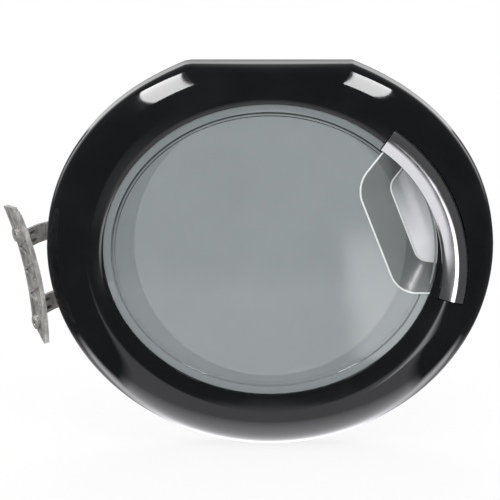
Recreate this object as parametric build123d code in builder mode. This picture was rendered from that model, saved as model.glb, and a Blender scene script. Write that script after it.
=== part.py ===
"""Washing machine door: an oval porthole door with a flat top, on a tilted swan-neck hinge.

The origin is the middle of the two hinge screws, on the face that meets the cabinet.
X runs along the door's face towards the handle, Y runs back into the machine, Z is up.
The door stands as in use when closed; the hinge casting is turned as with the door wide open.
"""

import os
from math import atan2, cos, degrees, radians, sin, sqrt, tan

from build123d import *

# Clearances
FIT_GAP = 0.4  # between moulded pieces that nest
SLIVER_GAP = 0.3  # between curved faces that only just clear
PIN_PLAY = 0.05  # radial, between a pin and what turns on it
OVERCUT = 2.0  # how far a cutting tool runs past what it cuts

# Where the door's front centre lies from the hinge screws
DOOR_X = 257.9
DOOR_Y = -14.0
DOOR_Z = 32.7

# Outline of the rim at its back edge, and the side wall
RIM_HALF_WIDTH = 236.0
RIM_HALF_HEIGHT = 208.0
RIM_LOW_HEIGHT = 215.0  # half height of the lower half
FLAT_HEIGHT = 195.0
FLAT_HALF_WIDTH = 86.0
CORNER_START = 57.0  # degrees round the ellipse where the corner leaves it
RIM_DEPTH = 48.0
DOME_DEPTH = 30.0
WALL_DRAFT = 1.0
RIM_SKIN = 2.6

# The crest that the dome rises to, and the window
CREST_HALF_WIDTH = RIM_HALF_WIDTH - 43.0
CREST_HALF_HEIGHT = RIM_HALF_HEIGHT - 27.0
CREST_FLAT_HALF = FLAT_HALF_WIDTH - 18.0
CREST_LAND = 2.0
DOME_STEPS = (0.0, 0.02, 0.09, 0.22, 0.45, 0.72, 1.0)
HOLLOW_STEPS = (0.0, 0.06, 0.2, 0.4, 0.6)
WINDOW_HALF_WIDTH = CREST_HALF_WIDTH - 18.0
WINDOW_HALF_HEIGHT = CREST_HALF_HEIGHT - 26.0
WINDOW_DROP = 2.5
LIP_THICKNESS = 2.0
LIP_DEPTH = 13.0

# Smoked cover
COVER_THICKNESS = 3.0
COVER_DROP = 4.0
COVER_STEP = 2.0
COVER_BORDER = 8.4
COVER_SKIRT = 2.2
COVER_SKIRT_DEPTH = 15.0

# Handle: the bar is an arc, and everything about it lies in a leaning frame
HANDLE_LEAN = 21.4
HANDLE_OFFSET = -27.0  # of its middle, along the leaning direction
BAR_CENTRE_OUT = 23.0  # centre of the bar's arcs, outward from the door's centre
BAR_INNER_RADIUS = 149.0
BAR_OUTER_RADIUS = 175.5
BAR_HALF_ANGLE = 34.5
BAR_CROWN = 3.2
BAR_EDGE_DEPTH = 2.4
BAR_BACK_DEPTH = 9.5
BAR_WALL = 2.4
BAR_GAP = 0.8
BAR_END_GAP = 0.35  # degrees
BAR_UNDER_GAP = 1.7

# Finger pocket
POCKET_DEPTH = 28.0
POCKET_WALL = 2.5
POCKET_SIDE = 109.0
POCKET_FLOOR_SIDE = 140.5
POCKET_OUTER = 186.0
POCKET_TOP_CORNER = 33.0
POCKET_LOW_CORNER = 28.5
POCKET_FLOOR_CORNER = 15.0
POCKET_DRAFT = 2.0
POCKET_TOP = 57.6
POCKET_BOTTOM = 64.0
POCKET_END_OUT = 159.0
POCKET_END_TOP = 87.0
POCKET_END_BOTTOM = 84.0
POCKET_FLOOR_TOP = 42.0
POCKET_FLOOR_BOTTOM = 43.0
POCKET_FLOOR_END_OUT = 166.0
POCKET_FLOOR_END = 58.0

# Handle lever, pins and hook
HANDLE_PIN_OUT = 189.0
HANDLE_PIN_DEPTH = 6.0
HANDLE_PIN_RADIUS = 1.5
HANDLE_PIN_HALF = 31.5
EYE_RADIUS = 3.2
EYE_HALF_LENGTH = 4.0
LEVER_EYE_SPREAD = 20.0
LEVER_FRONT = 6.3
LEVER_THICKNESS = 2.6
LEVER_STRIP_OUTER = 161.0
LEVER_HALF_ANGLE = 31.0
TAIL_WIDTH = 9.0
TAIL_THICKNESS = 5.0
TAIL_NECK_DEPTH = 9.9
TAIL_SHOULDER = 18.0
TAIL_END = 25.5
TAIL_BEND = 2.0  # between the outer and the inner face of the tail's shoulder
NECK_WALL = 3.0
NECK_CLEAR_OUT = 1.5  # past the pin, where the neck passes the cover's edge
NECK_CLEAR_DEPTH = 1.0
EYE_ROOT = 7.0  # how far the eyes and the tail run onto the strip
TAIL_ROOT = 4.0
TAIL_ROOT_END = 1.0
BAR_SCREW_RADIUS_OUT = 157.0
BAR_SCREW_ANGLE = 20.0
BAR_SCREW_RADIUS = 1.3
BAR_SCREW_BITE = 4.0
BAR_SCREW_HEAD = 2.6
BAR_SCREW_HEAD_HEIGHT = 1.6
BAR_BOSS_RADIUS = 3.2
BAR_END_WALL = 0.9  # degrees
HOOK_PIN_OUT = 199.0
HOOK_PIN_DEPTH = 38.0
HOOK_PIN_RADIUS = 2.0
HOOK_PIN_HALF = 13.5
HOOK_WIDTH = 11.0
HOOK_THICKNESS = 8.0
HOOK_TAIL = 14.5
HOOK_SLOT_INNER = 184.0
HOOK_SLOT_OUTER = 207.0
HOUSING_INNER = 177.0
HOUSING_OUTER = 211.0
HOUSING_HALF_LENGTH = 46.0
HOUSING_THICKNESS = 3.0
HOUSING_SCREWS_OUT = (182.0, 205.0)
HOUSING_SCREW_SPREAD = 41.0
POST_SPREAD = 29.0
POST_INNER = 186.4
POST_OUTER = 191.4
POST_FOOT = 203.0
POST_THICKNESS = 4.0
POST_STEP = 3.0
HOUSING_CORNER = 4.0
CHEEK_THICKNESS = 3.0
CHEEK_HALF = 5.0
SMALL_SCREW_RADIUS = 1.75
SMALL_SCREW_HEAD = 3.4
SMALL_SCREW_HEAD_HEIGHT = 2.0
HOOK_REACH = 72.0
HOOK_CHAMFER = 3.0
CLAW_REACH = 8.0
CLAW_HEIGHT = 7.0
CLAW_RAMP = 5.0
SPRING_WIRE = 0.8
SPRING_TURNS = 2.5
SPRING_PITCH = 1.15  # in wires
HANDLE_SPRING_ALONG = 8.0
HANDLE_SPRING_RADIUS = 2.3
HANDLE_SPRING_LEG = 4.3
HOOK_SPRING_ALONG = 10.0
HOOK_SPRING_RADIUS = 2.5
HOOK_SPRING_LEG = 3.4

# Rear frame
PLATE_THICKNESS = 3.0
SKIRT_THICKNESS = 2.0
SKIRT_HEIGHT = 11.0
APERTURE_RADIUS = 151.0
COLLAR_THICKNESS = 3.0
COLLAR_HEIGHT = 2.5
SEAT_WALL = 2.0
FRAME_BOSS_RADIUS = 4.5
FRAME_SCREW_RADIUS = 1.75
FRAME_SCREW_HEAD = 3.6
FRAME_SCREW_HEAD_HEIGHT = 2.4
FRAME_SCREW_ANGLES = (20, 50, 74, 106, 130, 154, 215, 245, 295, 325, 346)
FRAME_SCREW_INSET = 14.0
FRAME_SCREW_LENGTH = 14.0

# Glass bowl, its gasket and its clamp ring
GLASS = 5.0
FLANGE_RADIUS = 157.0
BOWL_MOUTH = 149.0
BOWL_BASE_RADIUS = 107.0
BOWL_BASE_DEPTH = 117.0
BOWL_SHOULDER = 46.0
BOWL_CORNER = 20.0
FACET_CREASE = 20.0
FACET_SLOPE = 12.5
NOSE_HALF_WIDTH = 80.0
NOSE_HALF_HEIGHT = 44.0
NOSE_HEIGHT = 7.0
NOSE_TAPER = 30.0
GASKET_THICKNESS = 1.5
CLAMP_THICKNESS = 3.0
CLAMP_INNER = 146.0
CLAMP_OUTER = 161.0
CLAMP_EAR_RADIUS = 5.0
CLAMP_BOSS_RADIUS = 4.0
CLAMP_SCREW_RADIUS = 1.5
CLAMP_SCREW_HEAD = 3.0
CLAMP_SCREW_HEAD_HEIGHT = 2.0
CLAMP_SCREWS = 8
CLAMP_SCREW_START = 22.5
CLAMP_SCREW_CIRCLE = 164.0

# Hinge
HINGE_TILT = 11.5
OPEN_ANGLE = 115.0
PIN_TO_FACE = 51.7  # from the pin back to the face on the cabinet
PLATE_CENTRE_ACROSS = 2.0
PLATE_WIDTH = 36.0
PLATE_TOP = 78.0
PLATE_BOTTOM = 69.0
HINGE_PLATE_THICKNESS = 5.0
PLATE_ARCH = 7.0
BOSS_RADIUS = 7.0
BOSS_STAND = 1.0
HINGE_BOLT_SPACING = 96.0
HINGE_BOLT_HOLE = 3.1
ARM_SPREAD = 37.0
ARM_WIDTH = 18.5
ARM_THICKNESS = 5.5
ARM_EYE_RADIUS = 7.5
HINGE_PIN_RADIUS = 3.0
BUSH_WALL = 2.0
ARM_SIDE_GAP = 0.8
ARM_ELBOW = (36.0, -3.0)
ARM_KNEE = (34.5, 16.0)
ARM_FOOT = (15.9, 43.0)
ELBOW_RADIUS = 9.0
KNEE_RADIUS = 25.0
SLOT_LENGTH = 9.6
SLOT_WIDTH = 3.2
SLOT_FLOOR = 1.6  # metal left behind a slot
SLOT_ROW = 4.25
SLOT_STEP = 6.0
SLOT_CENTRE_ACROSS = 24.5
SLOT_CENTRE_DEPTH = 30.5
PLATE_TAPER_START = 50.0
STEP_DEPTH = 4.0
RIB_PITCH = 13.0
RIB_WIDTH = 2.4
RIB_MARGIN = 3.5
RIB_POCKET_DEPTH = 2.2
LUG_THICKNESS = 3.0
LUG_RADIUS = 5.5
LUG_DEPTH = 8.0
LUG_FRONT = 12.0  # forward of the pin
CARRIER_THICKNESS = 2.5
CARRIER_REACH = 24.0
CARRIER_INNER_START = -4.0
CARRIER_END_START = 4.0
CARRIER_HALF_LENGTH = 60.0
SKIRT_GAP = 2.0  # between the carrier's end and the rear frame's skirt
CARRIER_SCREWS = ((16.0, 55.0), (14.0, 14.0))
CARRIER_SCREW_RADIUS = 2.0
CARRIER_SCREW_HEAD = 3.8
CARRIER_SCREW_HEAD_HEIGHT = 2.5
PIN_END = 1.0  # how far a hinge pin stands out of its lugs
NOTCH_FRONT_FRAME = -8.5  # where the notch starts in the rim, back from the pin
NOTCH_REAR_FRAME = -14.0
NOTCH_REACH_OUT = 60.0
NOTCH_REACH_IN = 40.0
NOTCH_HEIGHT = 60.0


def lean(angle):
    """Unit direction at an angle above X, in the door's plane."""
    return Vector(cos(radians(angle)), 0, sin(radians(angle)))


DEPTH = Vector(0, 1, 0)
DOOR_CENTRE = Vector(DOOR_X, DOOR_Y, DOOR_Z)
OUTWARD = lean(HANDLE_LEAN)
ALONG_HANDLE = lean(HANDLE_LEAN + 90)
HINGE_ACROSS = lean(HINGE_TILT)
HINGE_AXIS = lean(HINGE_TILT + 90)
OPEN = radians(OPEN_ANGLE)
HINGE_PIN = (
    HINGE_ACROSS * (sin(OPEN) * PIN_TO_FACE - cos(OPEN) * PLATE_CENTRE_ACROSS)
    - DEPTH * (sin(OPEN) * PLATE_CENTRE_ACROSS + cos(OPEN) * PIN_TO_FACE)
)


def face_plane(depth):
    """Plane of the door's face at a depth; sketches see X right and Z up."""
    return Plane(DOOR_CENTRE + DEPTH * depth, x_dir=(1, 0, 0), z_dir=(0, -1, 0))


def handle_plane(depth):
    """Face plane turned so that its x runs outward through the handle, centred on the handle."""
    origin = DOOR_CENTRE + DEPTH * depth + ALONG_HANDLE * HANDLE_OFFSET
    return Plane(origin, x_dir=OUTWARD, z_dir=(0, -1, 0))


def handle_section(along):
    """Plane square to the handle's length: x is outward, y is depth."""
    origin = DOOR_CENTRE + ALONG_HANDLE * (HANDLE_OFFSET + along)
    return Plane(origin, x_dir=OUTWARD, z_dir=ALONG_HANDLE)


def hinge_section(along, turn=0.0):
    """Plane square to the hinge pins, centred on them and turned about them by an angle."""
    x_dir = HINGE_ACROSS * cos(radians(turn)) + DEPTH * sin(radians(turn))
    return Plane(HINGE_PIN + HINGE_AXIS * along, x_dir=x_dir, z_dir=HINGE_AXIS)


def hinge_face(depth):
    """Face plane turned so that its x runs across the hinge and its y along the pins."""
    origin = Vector(HINGE_PIN.X, DOOR_Y + depth, HINGE_PIN.Z)
    return Plane(origin, x_dir=HINGE_ACROSS, z_dir=(0, -1, 0))


def plate_face(back):
    """Plane across the opened hinge plate, a distance back from the pins."""
    opened = hinge_section(0, OPEN_ANGLE)
    return Plane(opened.origin + opened.y_dir * back, x_dir=opened.x_dir, z_dir=opened.y_dir * -1)


def plate_profile(across):
    """Plane along the opened hinge plate: x runs along the pins, y back towards the cabinet."""
    opened = hinge_section(0, OPEN_ANGLE)
    return Plane(opened.origin + opened.x_dir * across, x_dir=HINGE_AXIS, z_dir=opened.x_dir * -1)


def bar_point(radius, angle):
    """Point of the handle's frame on a circle about the handle bar's centre."""
    return (BAR_CENTRE_OUT + radius * cos(radians(angle)), radius * sin(radians(angle)))


def between(first, last, share):
    """Value part of the way from first to last."""
    return first + (last - first) * share


def rim_face(half_width, half_height, low_height, flat_height, flat_half, crown=0.0):
    """Sketch of the rim's outline: an oval with a flat, or slightly crowned, top."""
    with BuildSketch(Plane.XY) as outline:
        with BuildLine():
            left_part = EllipticalCenterArc(
                (0, 0), half_width, half_height, 180 - CORNER_START, arc_size=CORNER_START
            )
            EllipticalCenterArc((0, 0), half_width, low_height, 180, arc_size=180)
            right_part = EllipticalCenterArc((0, 0), half_width, half_height, 0, arc_size=CORNER_START)
            right = (flat_half, flat_height)
            left = (-flat_half, flat_height)
            TangentArc(right_part @ 1, right, tangent=right_part % 1)
            if crown > 0:
                ThreePointArc(right, (0, flat_height + crown), left)
            else:
                Line(right, left)
            TangentArc(left_part @ 0, left, tangent=(left_part % 0) * -1)
        make_face()
    return outline.sketch


def rim_outline(inset):
    """Outline of the rim, moved inward by an inset."""
    return rim_face(
        RIM_HALF_WIDTH - inset,
        RIM_HALF_HEIGHT - inset,
        RIM_LOW_HEIGHT - inset,
        FLAT_HEIGHT - inset,
        FLAT_HALF_WIDTH - inset / 3,
    )


def dome_outline(share, inset=0.0):
    """Outline part of the way from the rim's front edge to the crest."""
    crest_end = CREST_HALF_HEIGHT * sqrt(1 - (CREST_FLAT_HALF / CREST_HALF_WIDTH) ** 2)
    return rim_face(
        between(RIM_HALF_WIDTH - WALL_DRAFT, CREST_HALF_WIDTH, share) - inset,
        between(RIM_HALF_HEIGHT - WALL_DRAFT, CREST_HALF_HEIGHT, share) - inset,
        between(RIM_LOW_HEIGHT - WALL_DRAFT, CREST_HALF_HEIGHT, share) - inset,
        between(FLAT_HEIGHT - WALL_DRAFT, crest_end, share) - inset,
        between(FLAT_HALF_WIDTH - WALL_DRAFT / 3, CREST_FLAT_HALF, share) - inset / 3,
        (CREST_HALF_HEIGHT - crest_end) * share,
    )


def dome_height(share):
    """Depth of the dome's quarter-round surface at a share of the way to the crest."""
    return DOME_DEPTH * (1 - sqrt(1 - (1 - share) ** 2))


def wall_inset(depth):
    """Inset of the side wall's outer face at a depth."""
    return WALL_DRAFT * (RIM_DEPTH - depth) / (RIM_DEPTH - DOME_DEPTH)


def bar_band(inner_radius, outer_radius, half_angle):
    """Sketch of an arc-shaped band about the handle bar's centre."""
    inner_low, inner_high = bar_point(inner_radius, -half_angle), bar_point(inner_radius, half_angle)
    outer_low, outer_high = bar_point(outer_radius, -half_angle), bar_point(outer_radius, half_angle)
    with BuildSketch(Plane.XY) as band:
        with BuildLine():
            ThreePointArc(outer_low, (BAR_CENTRE_OUT + outer_radius, 0), outer_high)
            Line(outer_high, inner_high)
            ThreePointArc(inner_high, (BAR_CENTRE_OUT + inner_radius, 0), inner_low)
            Line(inner_low, outer_low)
        make_face()
    return band.sketch


def pocket_outline(share, grow=0.0):
    """Sketch of the finger pocket between its mouth, at share 0, and its floor, at share 1."""
    side = between(POCKET_SIDE, POCKET_FLOOR_SIDE, share)
    top = (side, between(POCKET_TOP, POCKET_FLOOR_TOP, share))
    bottom = (side, -between(POCKET_BOTTOM, POCKET_FLOOR_BOTTOM, share))
    end_out = between(POCKET_END_OUT, POCKET_FLOOR_END_OUT, share)
    outer_top = (end_out, between(POCKET_END_TOP, POCKET_FLOOR_END, share))
    outer_bottom = (end_out, -between(POCKET_END_BOTTOM, POCKET_FLOOR_END, share))
    top_corner = between(POCKET_TOP_CORNER, POCKET_FLOOR_CORNER, share)
    low_corner = between(POCKET_LOW_CORNER, POCKET_FLOOR_CORNER, share)
    with BuildSketch(Plane.XY) as outline:
        with BuildLine():
            FilletPolyline(outer_top, top, bottom, outer_bottom, radius=(top_corner, low_corner))
            ThreePointArc(outer_bottom, (POCKET_OUTER - POCKET_DRAFT * share, 0), outer_top)
        make_face()
        if grow > 0:
            offset(amount=grow, kind=Kind.INTERSECTION)
    return outline.sketch


def finish(made, name):
    """Label a finished piece and write it."""
    made.part.label = name
    export_step(made.part, f"parts/{name}.step")


PLATE_FRONT = RIM_DEPTH - PLATE_THICKNESS
COVER_HALF_WIDTH = WINDOW_HALF_WIDTH - FIT_GAP
COVER_HALF_HEIGHT = WINDOW_HALF_HEIGHT - FIT_GAP
FLANGE_FRONT = PLATE_FRONT - GASKET_THICKNESS - GLASS
CLAMP_SCREW_GRIP = PLATE_FRONT - FLANGE_FRONT
TAIL_OUT = HOOK_PIN_OUT + HOOK_THICKNESS / 2 + SLIVER_GAP
CLAMP_SCREW_PLACES = [
    (
        CLAMP_SCREW_CIRCLE * cos(radians(CLAMP_SCREW_START + turn * 360 / CLAMP_SCREWS)),
        CLAMP_SCREW_CIRCLE * sin(radians(CLAMP_SCREW_START + turn * 360 / CLAMP_SCREWS)),
    )
    for turn in range(CLAMP_SCREWS)
]
CARRIER_SCREW_PLACES = [(across, side * along) for across, along in CARRIER_SCREWS for side in (-1, 1)]
HOUSING_SCREW_PLACES = [
    (out, side * HOUSING_SCREW_SPREAD) for out in HOUSING_SCREWS_OUT for side in (-1, 1)
]


def frame_screw_places():
    """Places of the screws that join the two frames, on an oval inside the rim."""
    places = []
    for angle in FRAME_SCREW_ANGLES:
        half_height = RIM_HALF_HEIGHT if angle < 180 else RIM_LOW_HEIGHT
        x = (RIM_HALF_WIDTH - FRAME_SCREW_INSET) * cos(radians(angle))
        z = min((half_height - FRAME_SCREW_INSET) * sin(radians(angle)), FLAT_HEIGHT - FRAME_SCREW_INSET)
        places.append((x, z))
    return places


def arm_notch(side, start):
    """Solid that clears one hinge arm through the rim's side or back, from a depth past the pin."""
    with BuildPart() as notch:
        with BuildSketch(hinge_section(side * ARM_SPREAD)):
            with Locations((-NOTCH_REACH_OUT, start)):
                Rectangle(NOTCH_REACH_OUT + NOTCH_REACH_IN, NOTCH_HEIGHT, align=(Align.MIN, Align.MIN))
        extrude(amount=ARM_WIDTH / 2 + ARM_SIDE_GAP, both=True)
    return notch.part


def bar_arc(inset, half_angle):
    """Solid of the handle bar's form, moved in by a wall, swept about the bar's centre."""
    inner = BAR_INNER_RADIUS + inset
    outer = BAR_OUTER_RADIUS - inset
    edge = BAR_EDGE_DEPTH + inset
    back = BAR_BACK_DEPTH + (OVERCUT if inset else 0)
    centre = DOOR_CENTRE + OUTWARD * BAR_CENTRE_OUT + ALONG_HANDLE * HANDLE_OFFSET
    start = HANDLE_LEAN - half_angle
    with BuildPart() as arc:
        with BuildSketch(Plane(centre, x_dir=lean(start), z_dir=lean(start + 90))):
            with BuildLine():
                Polyline((inner, edge), (inner, back), (outer, back), (outer, edge))
                ThreePointArc((outer, edge), ((inner + outer) / 2, edge - BAR_CROWN), (inner, edge))
            make_face()
        revolve(axis=Axis(centre, DEPTH * -1), revolution_arc=half_angle * 2)
    return arc.part


def hook_slot_outline():
    """Slot that lets the hook through and swing."""
    with BuildSketch(Plane.XY) as slot:
        with Locations(((HOOK_SLOT_INNER + HOOK_SLOT_OUTER) / 2, 0)):
            Rectangle(HOOK_SLOT_OUTER - HOOK_SLOT_INNER, HOOK_WIDTH + ARM_SIDE_GAP * 2)
    return slot.sketch


def torsion_spring(section, out, depth, radius, leg):
    """Torsion spring round a pin of the handle, with two straight legs that point back."""
    height = SPRING_WIRE * SPRING_PITCH * SPRING_TURNS
    with BuildPart() as coil:
        with BuildLine() as path:
            Helix(SPRING_WIRE * SPRING_PITCH, height, radius)
        with BuildSketch(Plane(path.line @ 0, z_dir=path.line % 0)):
            Circle(SPRING_WIRE / 2)
        sweep(path=path.line, is_frenet=True)
        for place, direction in ((path.line @ 0, (path.line % 0) * -1), (path.line @ 1, path.line % 1)):
            with BuildSketch(Plane(place, z_dir=direction)):
                Circle(SPRING_WIRE / 2)
            extrude(amount=leg)
    place = Plane(section.origin + OUTWARD * out + DEPTH * depth, x_dir=OUTWARD * -1, z_dir=ALONG_HANDLE)
    with BuildPart() as spring:
        add(coil.part.moved(place.location))
    return spring


def bowl_solid(inset):
    """Solid of the bowl's form, moved in by a wall: cone, flat base, inclined facet and nose."""
    slope = (BOWL_MOUTH - BOWL_BASE_RADIUS) / (BOWL_BASE_DEPTH - BOWL_SHOULDER)
    across = inset * sqrt(1 + slope**2)
    base = BOWL_BASE_DEPTH - inset
    base_radius = BOWL_BASE_RADIUS + inset * slope - across
    front = FLANGE_FRONT - (OVERCUT if inset else 0)
    with BuildPart() as bowl:
        with BuildSketch(Plane(DOOR_CENTRE, x_dir=(1, 0, 0), z_dir=(0, 0, 1))):
            with BuildLine():
                FilletPolyline((BOWL_MOUTH - across, BOWL_SHOULDER), (base_radius, base), (0, base),
                               radius=BOWL_CORNER - inset)
                Polyline(
                    (0, base), (0, front), (BOWL_MOUTH - across, front), (BOWL_MOUTH - across, BOWL_SHOULDER)
                )
            make_face()
        revolve(axis=Axis(DOOR_CENTRE, DEPTH))
        with BuildSketch(Plane(DOOR_CENTRE, x_dir=(0, 0, 1), z_dir=(-1, 0, 0))):
            with BuildLine():
                Polyline(
                    (FACET_CREASE, base),
                    (BOWL_MOUTH, base - (BOWL_MOUTH - FACET_CREASE) * tan(radians(FACET_SLOPE))),
                    (BOWL_MOUTH, base + OVERCUT),
                    (FACET_CREASE, base + OVERCUT),
                    close=True,
                )
            make_face()
        extrude(amount=BOWL_MOUTH, both=True, mode=Mode.SUBTRACT)
        tip = NOSE_HEIGHT * tan(radians(NOSE_TAPER))
        with BuildSketch(face_plane(base - inset / 2)):
            with Locations((0, -NOSE_HALF_HEIGHT)):
                Ellipse(NOSE_HALF_WIDTH - inset, NOSE_HALF_HEIGHT - inset)
        with BuildSketch(face_plane(base + NOSE_HEIGHT)):
            with Locations((0, -NOSE_HALF_HEIGHT)):
                Ellipse(NOSE_HALF_WIDTH - inset - tip, NOSE_HALF_HEIGHT - inset - tip)
        loft(ruled=True)
    return bowl.part


def plate_slab(back, thickness):
    """Arched slab of the hinge plate, with its cabinet side a distance back from the pins at mid length."""
    middle = (PLATE_TOP - PLATE_BOTTOM) / 2
    half = (PLATE_TOP + PLATE_BOTTOM) / 2
    ends = back + PLATE_ARCH
    with BuildPart() as slab:
        with BuildSketch(plate_profile(PLATE_CENTRE_ACROSS)):
            with BuildLine():
                ThreePointArc((middle - half, ends), (middle, back), (middle + half, ends))
                Line((middle + half, ends), (middle + half, ends - thickness))
                ThreePointArc(
                    (middle + half, ends - thickness),
                    (middle, back - thickness),
                    (middle - half, ends - thickness),
                )
                Line((middle - half, ends - thickness), (middle - half, ends))
            make_face()
        extrude(amount=PLATE_WIDTH, both=True)
    return slab.part


def cylinder_at(plane, places, radius, length):
    """Equal round pins on a plane, standing up from it."""
    with BuildPart() as pins:
        with BuildSketch(plane):
            with Locations(*places):
                Circle(radius)
        extrude(amount=length)
    return pins.part


os.makedirs("parts", exist_ok=True)

# Tools that cut the front frame and the cover for the handle bar
with BuildPart() as bar_opening:
    with BuildSketch(handle_plane(BAR_BACK_DEPTH + BAR_UNDER_GAP)):
        add(bar_band(BAR_INNER_RADIUS - BAR_GAP, BAR_OUTER_RADIUS + BAR_GAP, BAR_HALF_ANGLE + BAR_END_GAP))
    extrude(amount=BAR_BACK_DEPTH + BAR_UNDER_GAP + COVER_DROP + OVERCUT)

# The pocket, as the solid that the cover's wall follows and the hollow inside it
POCKET_TOP_DEPTH = COVER_DROP + COVER_STEP
with BuildPart() as pocket_outside:
    with BuildSketch(handle_plane(POCKET_TOP_DEPTH)):
        add(pocket_outline(0, POCKET_WALL))
    with BuildSketch(handle_plane(POCKET_DEPTH + POCKET_WALL)):
        add(pocket_outline(1, POCKET_WALL))
    loft(ruled=True)

with BuildPart() as pocket_hollow:
    with BuildSketch(handle_plane(POCKET_TOP_DEPTH)):
        add(pocket_outline(0))
    with BuildSketch(handle_plane(POCKET_DEPTH)):
        add(pocket_outline(1))
    loft(ruled=True)
    with BuildSketch(handle_plane(POCKET_TOP_DEPTH)):
        add(pocket_outline(0))
    extrude(amount=POCKET_TOP_DEPTH + OVERCUT)

# Hollow of the front frame, less the bosses for the screws from behind
with BuildPart() as frame_hollow:
    with BuildSketch(face_plane(RIM_DEPTH + OVERCUT)):
        add(rim_outline(RIM_SKIN))
    with BuildSketch(face_plane(DOME_DEPTH + RIM_SKIN)):
        add(rim_outline(wall_inset(DOME_DEPTH + RIM_SKIN) + RIM_SKIN))
    loft(ruled=True)
    for step in HOLLOW_STEPS:
        with BuildSketch(face_plane(max(dome_height(step), WINDOW_DROP) + RIM_SKIN)):
            add(dome_outline(step, RIM_SKIN))
    loft(ruled=True)
    with BuildSketch(face_plane(PLATE_FRONT - SLIVER_GAP)):
        with Locations(*frame_screw_places()):
            Circle(FRAME_BOSS_RADIUS)
    extrude(amount=RIM_DEPTH, mode=Mode.SUBTRACT)

# Front frame: a domed ring, open at the back
with BuildPart() as front_frame:
    with BuildSketch(face_plane(RIM_DEPTH)):
        add(rim_outline(0))
    with BuildSketch(face_plane(DOME_DEPTH)):
        add(dome_outline(0))
    loft(ruled=True)
    for step in DOME_STEPS:
        with BuildSketch(face_plane(dome_height(step))):
            add(dome_outline(step))
    loft()
    with BuildSketch(face_plane(0)):
        Ellipse(CREST_HALF_WIDTH - CREST_LAND, CREST_HALF_HEIGHT - CREST_LAND)
    with BuildSketch(face_plane(WINDOW_DROP)):
        Ellipse(WINDOW_HALF_WIDTH, WINDOW_HALF_HEIGHT)
    loft(ruled=True, mode=Mode.SUBTRACT)
    add(frame_hollow, mode=Mode.SUBTRACT)
    # lip round the window
    with BuildSketch(face_plane(LIP_DEPTH)):
        Ellipse(WINDOW_HALF_WIDTH + LIP_THICKNESS, WINDOW_HALF_HEIGHT + LIP_THICKNESS)
    extrude(amount=LIP_DEPTH - WINDOW_DROP - RIM_SKIN / 2)
    with BuildSketch(face_plane(LIP_DEPTH + OVERCUT)):
        Ellipse(WINDOW_HALF_WIDTH, WINDOW_HALF_HEIGHT)
    extrude(amount=LIP_DEPTH + OVERCUT * 2, mode=Mode.SUBTRACT)
    with BuildSketch(face_plane(PLATE_FRONT)):
        with Locations(*frame_screw_places()):
            Circle(FRAME_SCREW_RADIUS)
    extrude(amount=FRAME_SCREW_LENGTH + 1, mode=Mode.SUBTRACT)
    # opening for the handle bar and for the pocket behind it
    add(bar_opening, mode=Mode.SUBTRACT)
    with BuildSketch(handle_plane(POCKET_TOP_DEPTH)):
        add(pocket_outline(0, POCKET_WALL + FIT_GAP))
    extrude(amount=OVERCUT, mode=Mode.SUBTRACT)
    with BuildSketch(handle_plane(POCKET_TOP_DEPTH)):
        add(pocket_outline(0, POCKET_WALL + FIT_GAP))
    with BuildSketch(handle_plane(POCKET_DEPTH + POCKET_WALL)):
        add(pocket_outline(1, POCKET_WALL + FIT_GAP))
    loft(ruled=True, mode=Mode.SUBTRACT)
    # notches for the hinge arms
    for side in (-1, 1):
        add(arm_notch(side, NOTCH_FRONT_FRAME), mode=Mode.SUBTRACT)
finish(front_frame, "front_frame")

# Smoked cover: stepped panel, rear skirt and the finger pocket in one moulding
with BuildPart() as window_cover:
    with BuildSketch(face_plane(COVER_DROP + COVER_STEP + COVER_THICKNESS)):
        Ellipse(COVER_HALF_WIDTH, COVER_HALF_HEIGHT)
    extrude(amount=COVER_STEP + COVER_THICKNESS)
    with BuildSketch(face_plane(COVER_DROP + COVER_STEP)):
        Ellipse(COVER_HALF_WIDTH - COVER_BORDER, COVER_HALF_HEIGHT - COVER_BORDER)
    extrude(amount=COVER_STEP + OVERCUT, mode=Mode.SUBTRACT)
    with BuildSketch(face_plane(COVER_DROP + COVER_STEP + COVER_THICKNESS)):
        Ellipse(COVER_HALF_WIDTH, COVER_HALF_HEIGHT)
        Ellipse(
            COVER_HALF_WIDTH - COVER_BORDER + COVER_THICKNESS,
            COVER_HALF_HEIGHT - COVER_BORDER + COVER_THICKNESS,
            mode=Mode.SUBTRACT,
        )
    extrude(amount=COVER_STEP, mode=Mode.SUBTRACT)
    with BuildSketch(face_plane(COVER_SKIRT_DEPTH)):
        Ellipse(COVER_HALF_WIDTH, COVER_HALF_HEIGHT)
        Ellipse(COVER_HALF_WIDTH - COVER_SKIRT, COVER_HALF_HEIGHT - COVER_SKIRT, mode=Mode.SUBTRACT)
    extrude(amount=COVER_SKIRT_DEPTH - COVER_DROP - COVER_THICKNESS)
    add(pocket_outside)
    add(pocket_hollow, mode=Mode.SUBTRACT)
    add(bar_opening, mode=Mode.SUBTRACT)
finish(window_cover, "window_cover")

# Handle bar: a chromed channel bent to an arc
with BuildPart() as handle_bar:
    add(bar_arc(0, BAR_HALF_ANGLE))
    add(bar_arc(BAR_WALL, BAR_HALF_ANGLE - BAR_END_WALL), mode=Mode.SUBTRACT)
    with BuildSketch(handle_plane(LEVER_FRONT)):
        with Locations(*(bar_point(BAR_SCREW_RADIUS_OUT, side * BAR_SCREW_ANGLE) for side in (-1, 1))):
            Circle(BAR_BOSS_RADIUS)
    extrude(amount=LEVER_FRONT - BAR_WALL / 2)
    with BuildSketch(handle_plane(LEVER_FRONT + OVERCUT)):
        with Locations(*(bar_point(BAR_SCREW_RADIUS_OUT, side * BAR_SCREW_ANGLE) for side in (-1, 1))):
            Circle(BAR_SCREW_RADIUS + PIN_PLAY)
    extrude(amount=OVERCUT + BAR_SCREW_BITE + 0.5, mode=Mode.SUBTRACT)
finish(handle_bar, "handle_bar")

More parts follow.
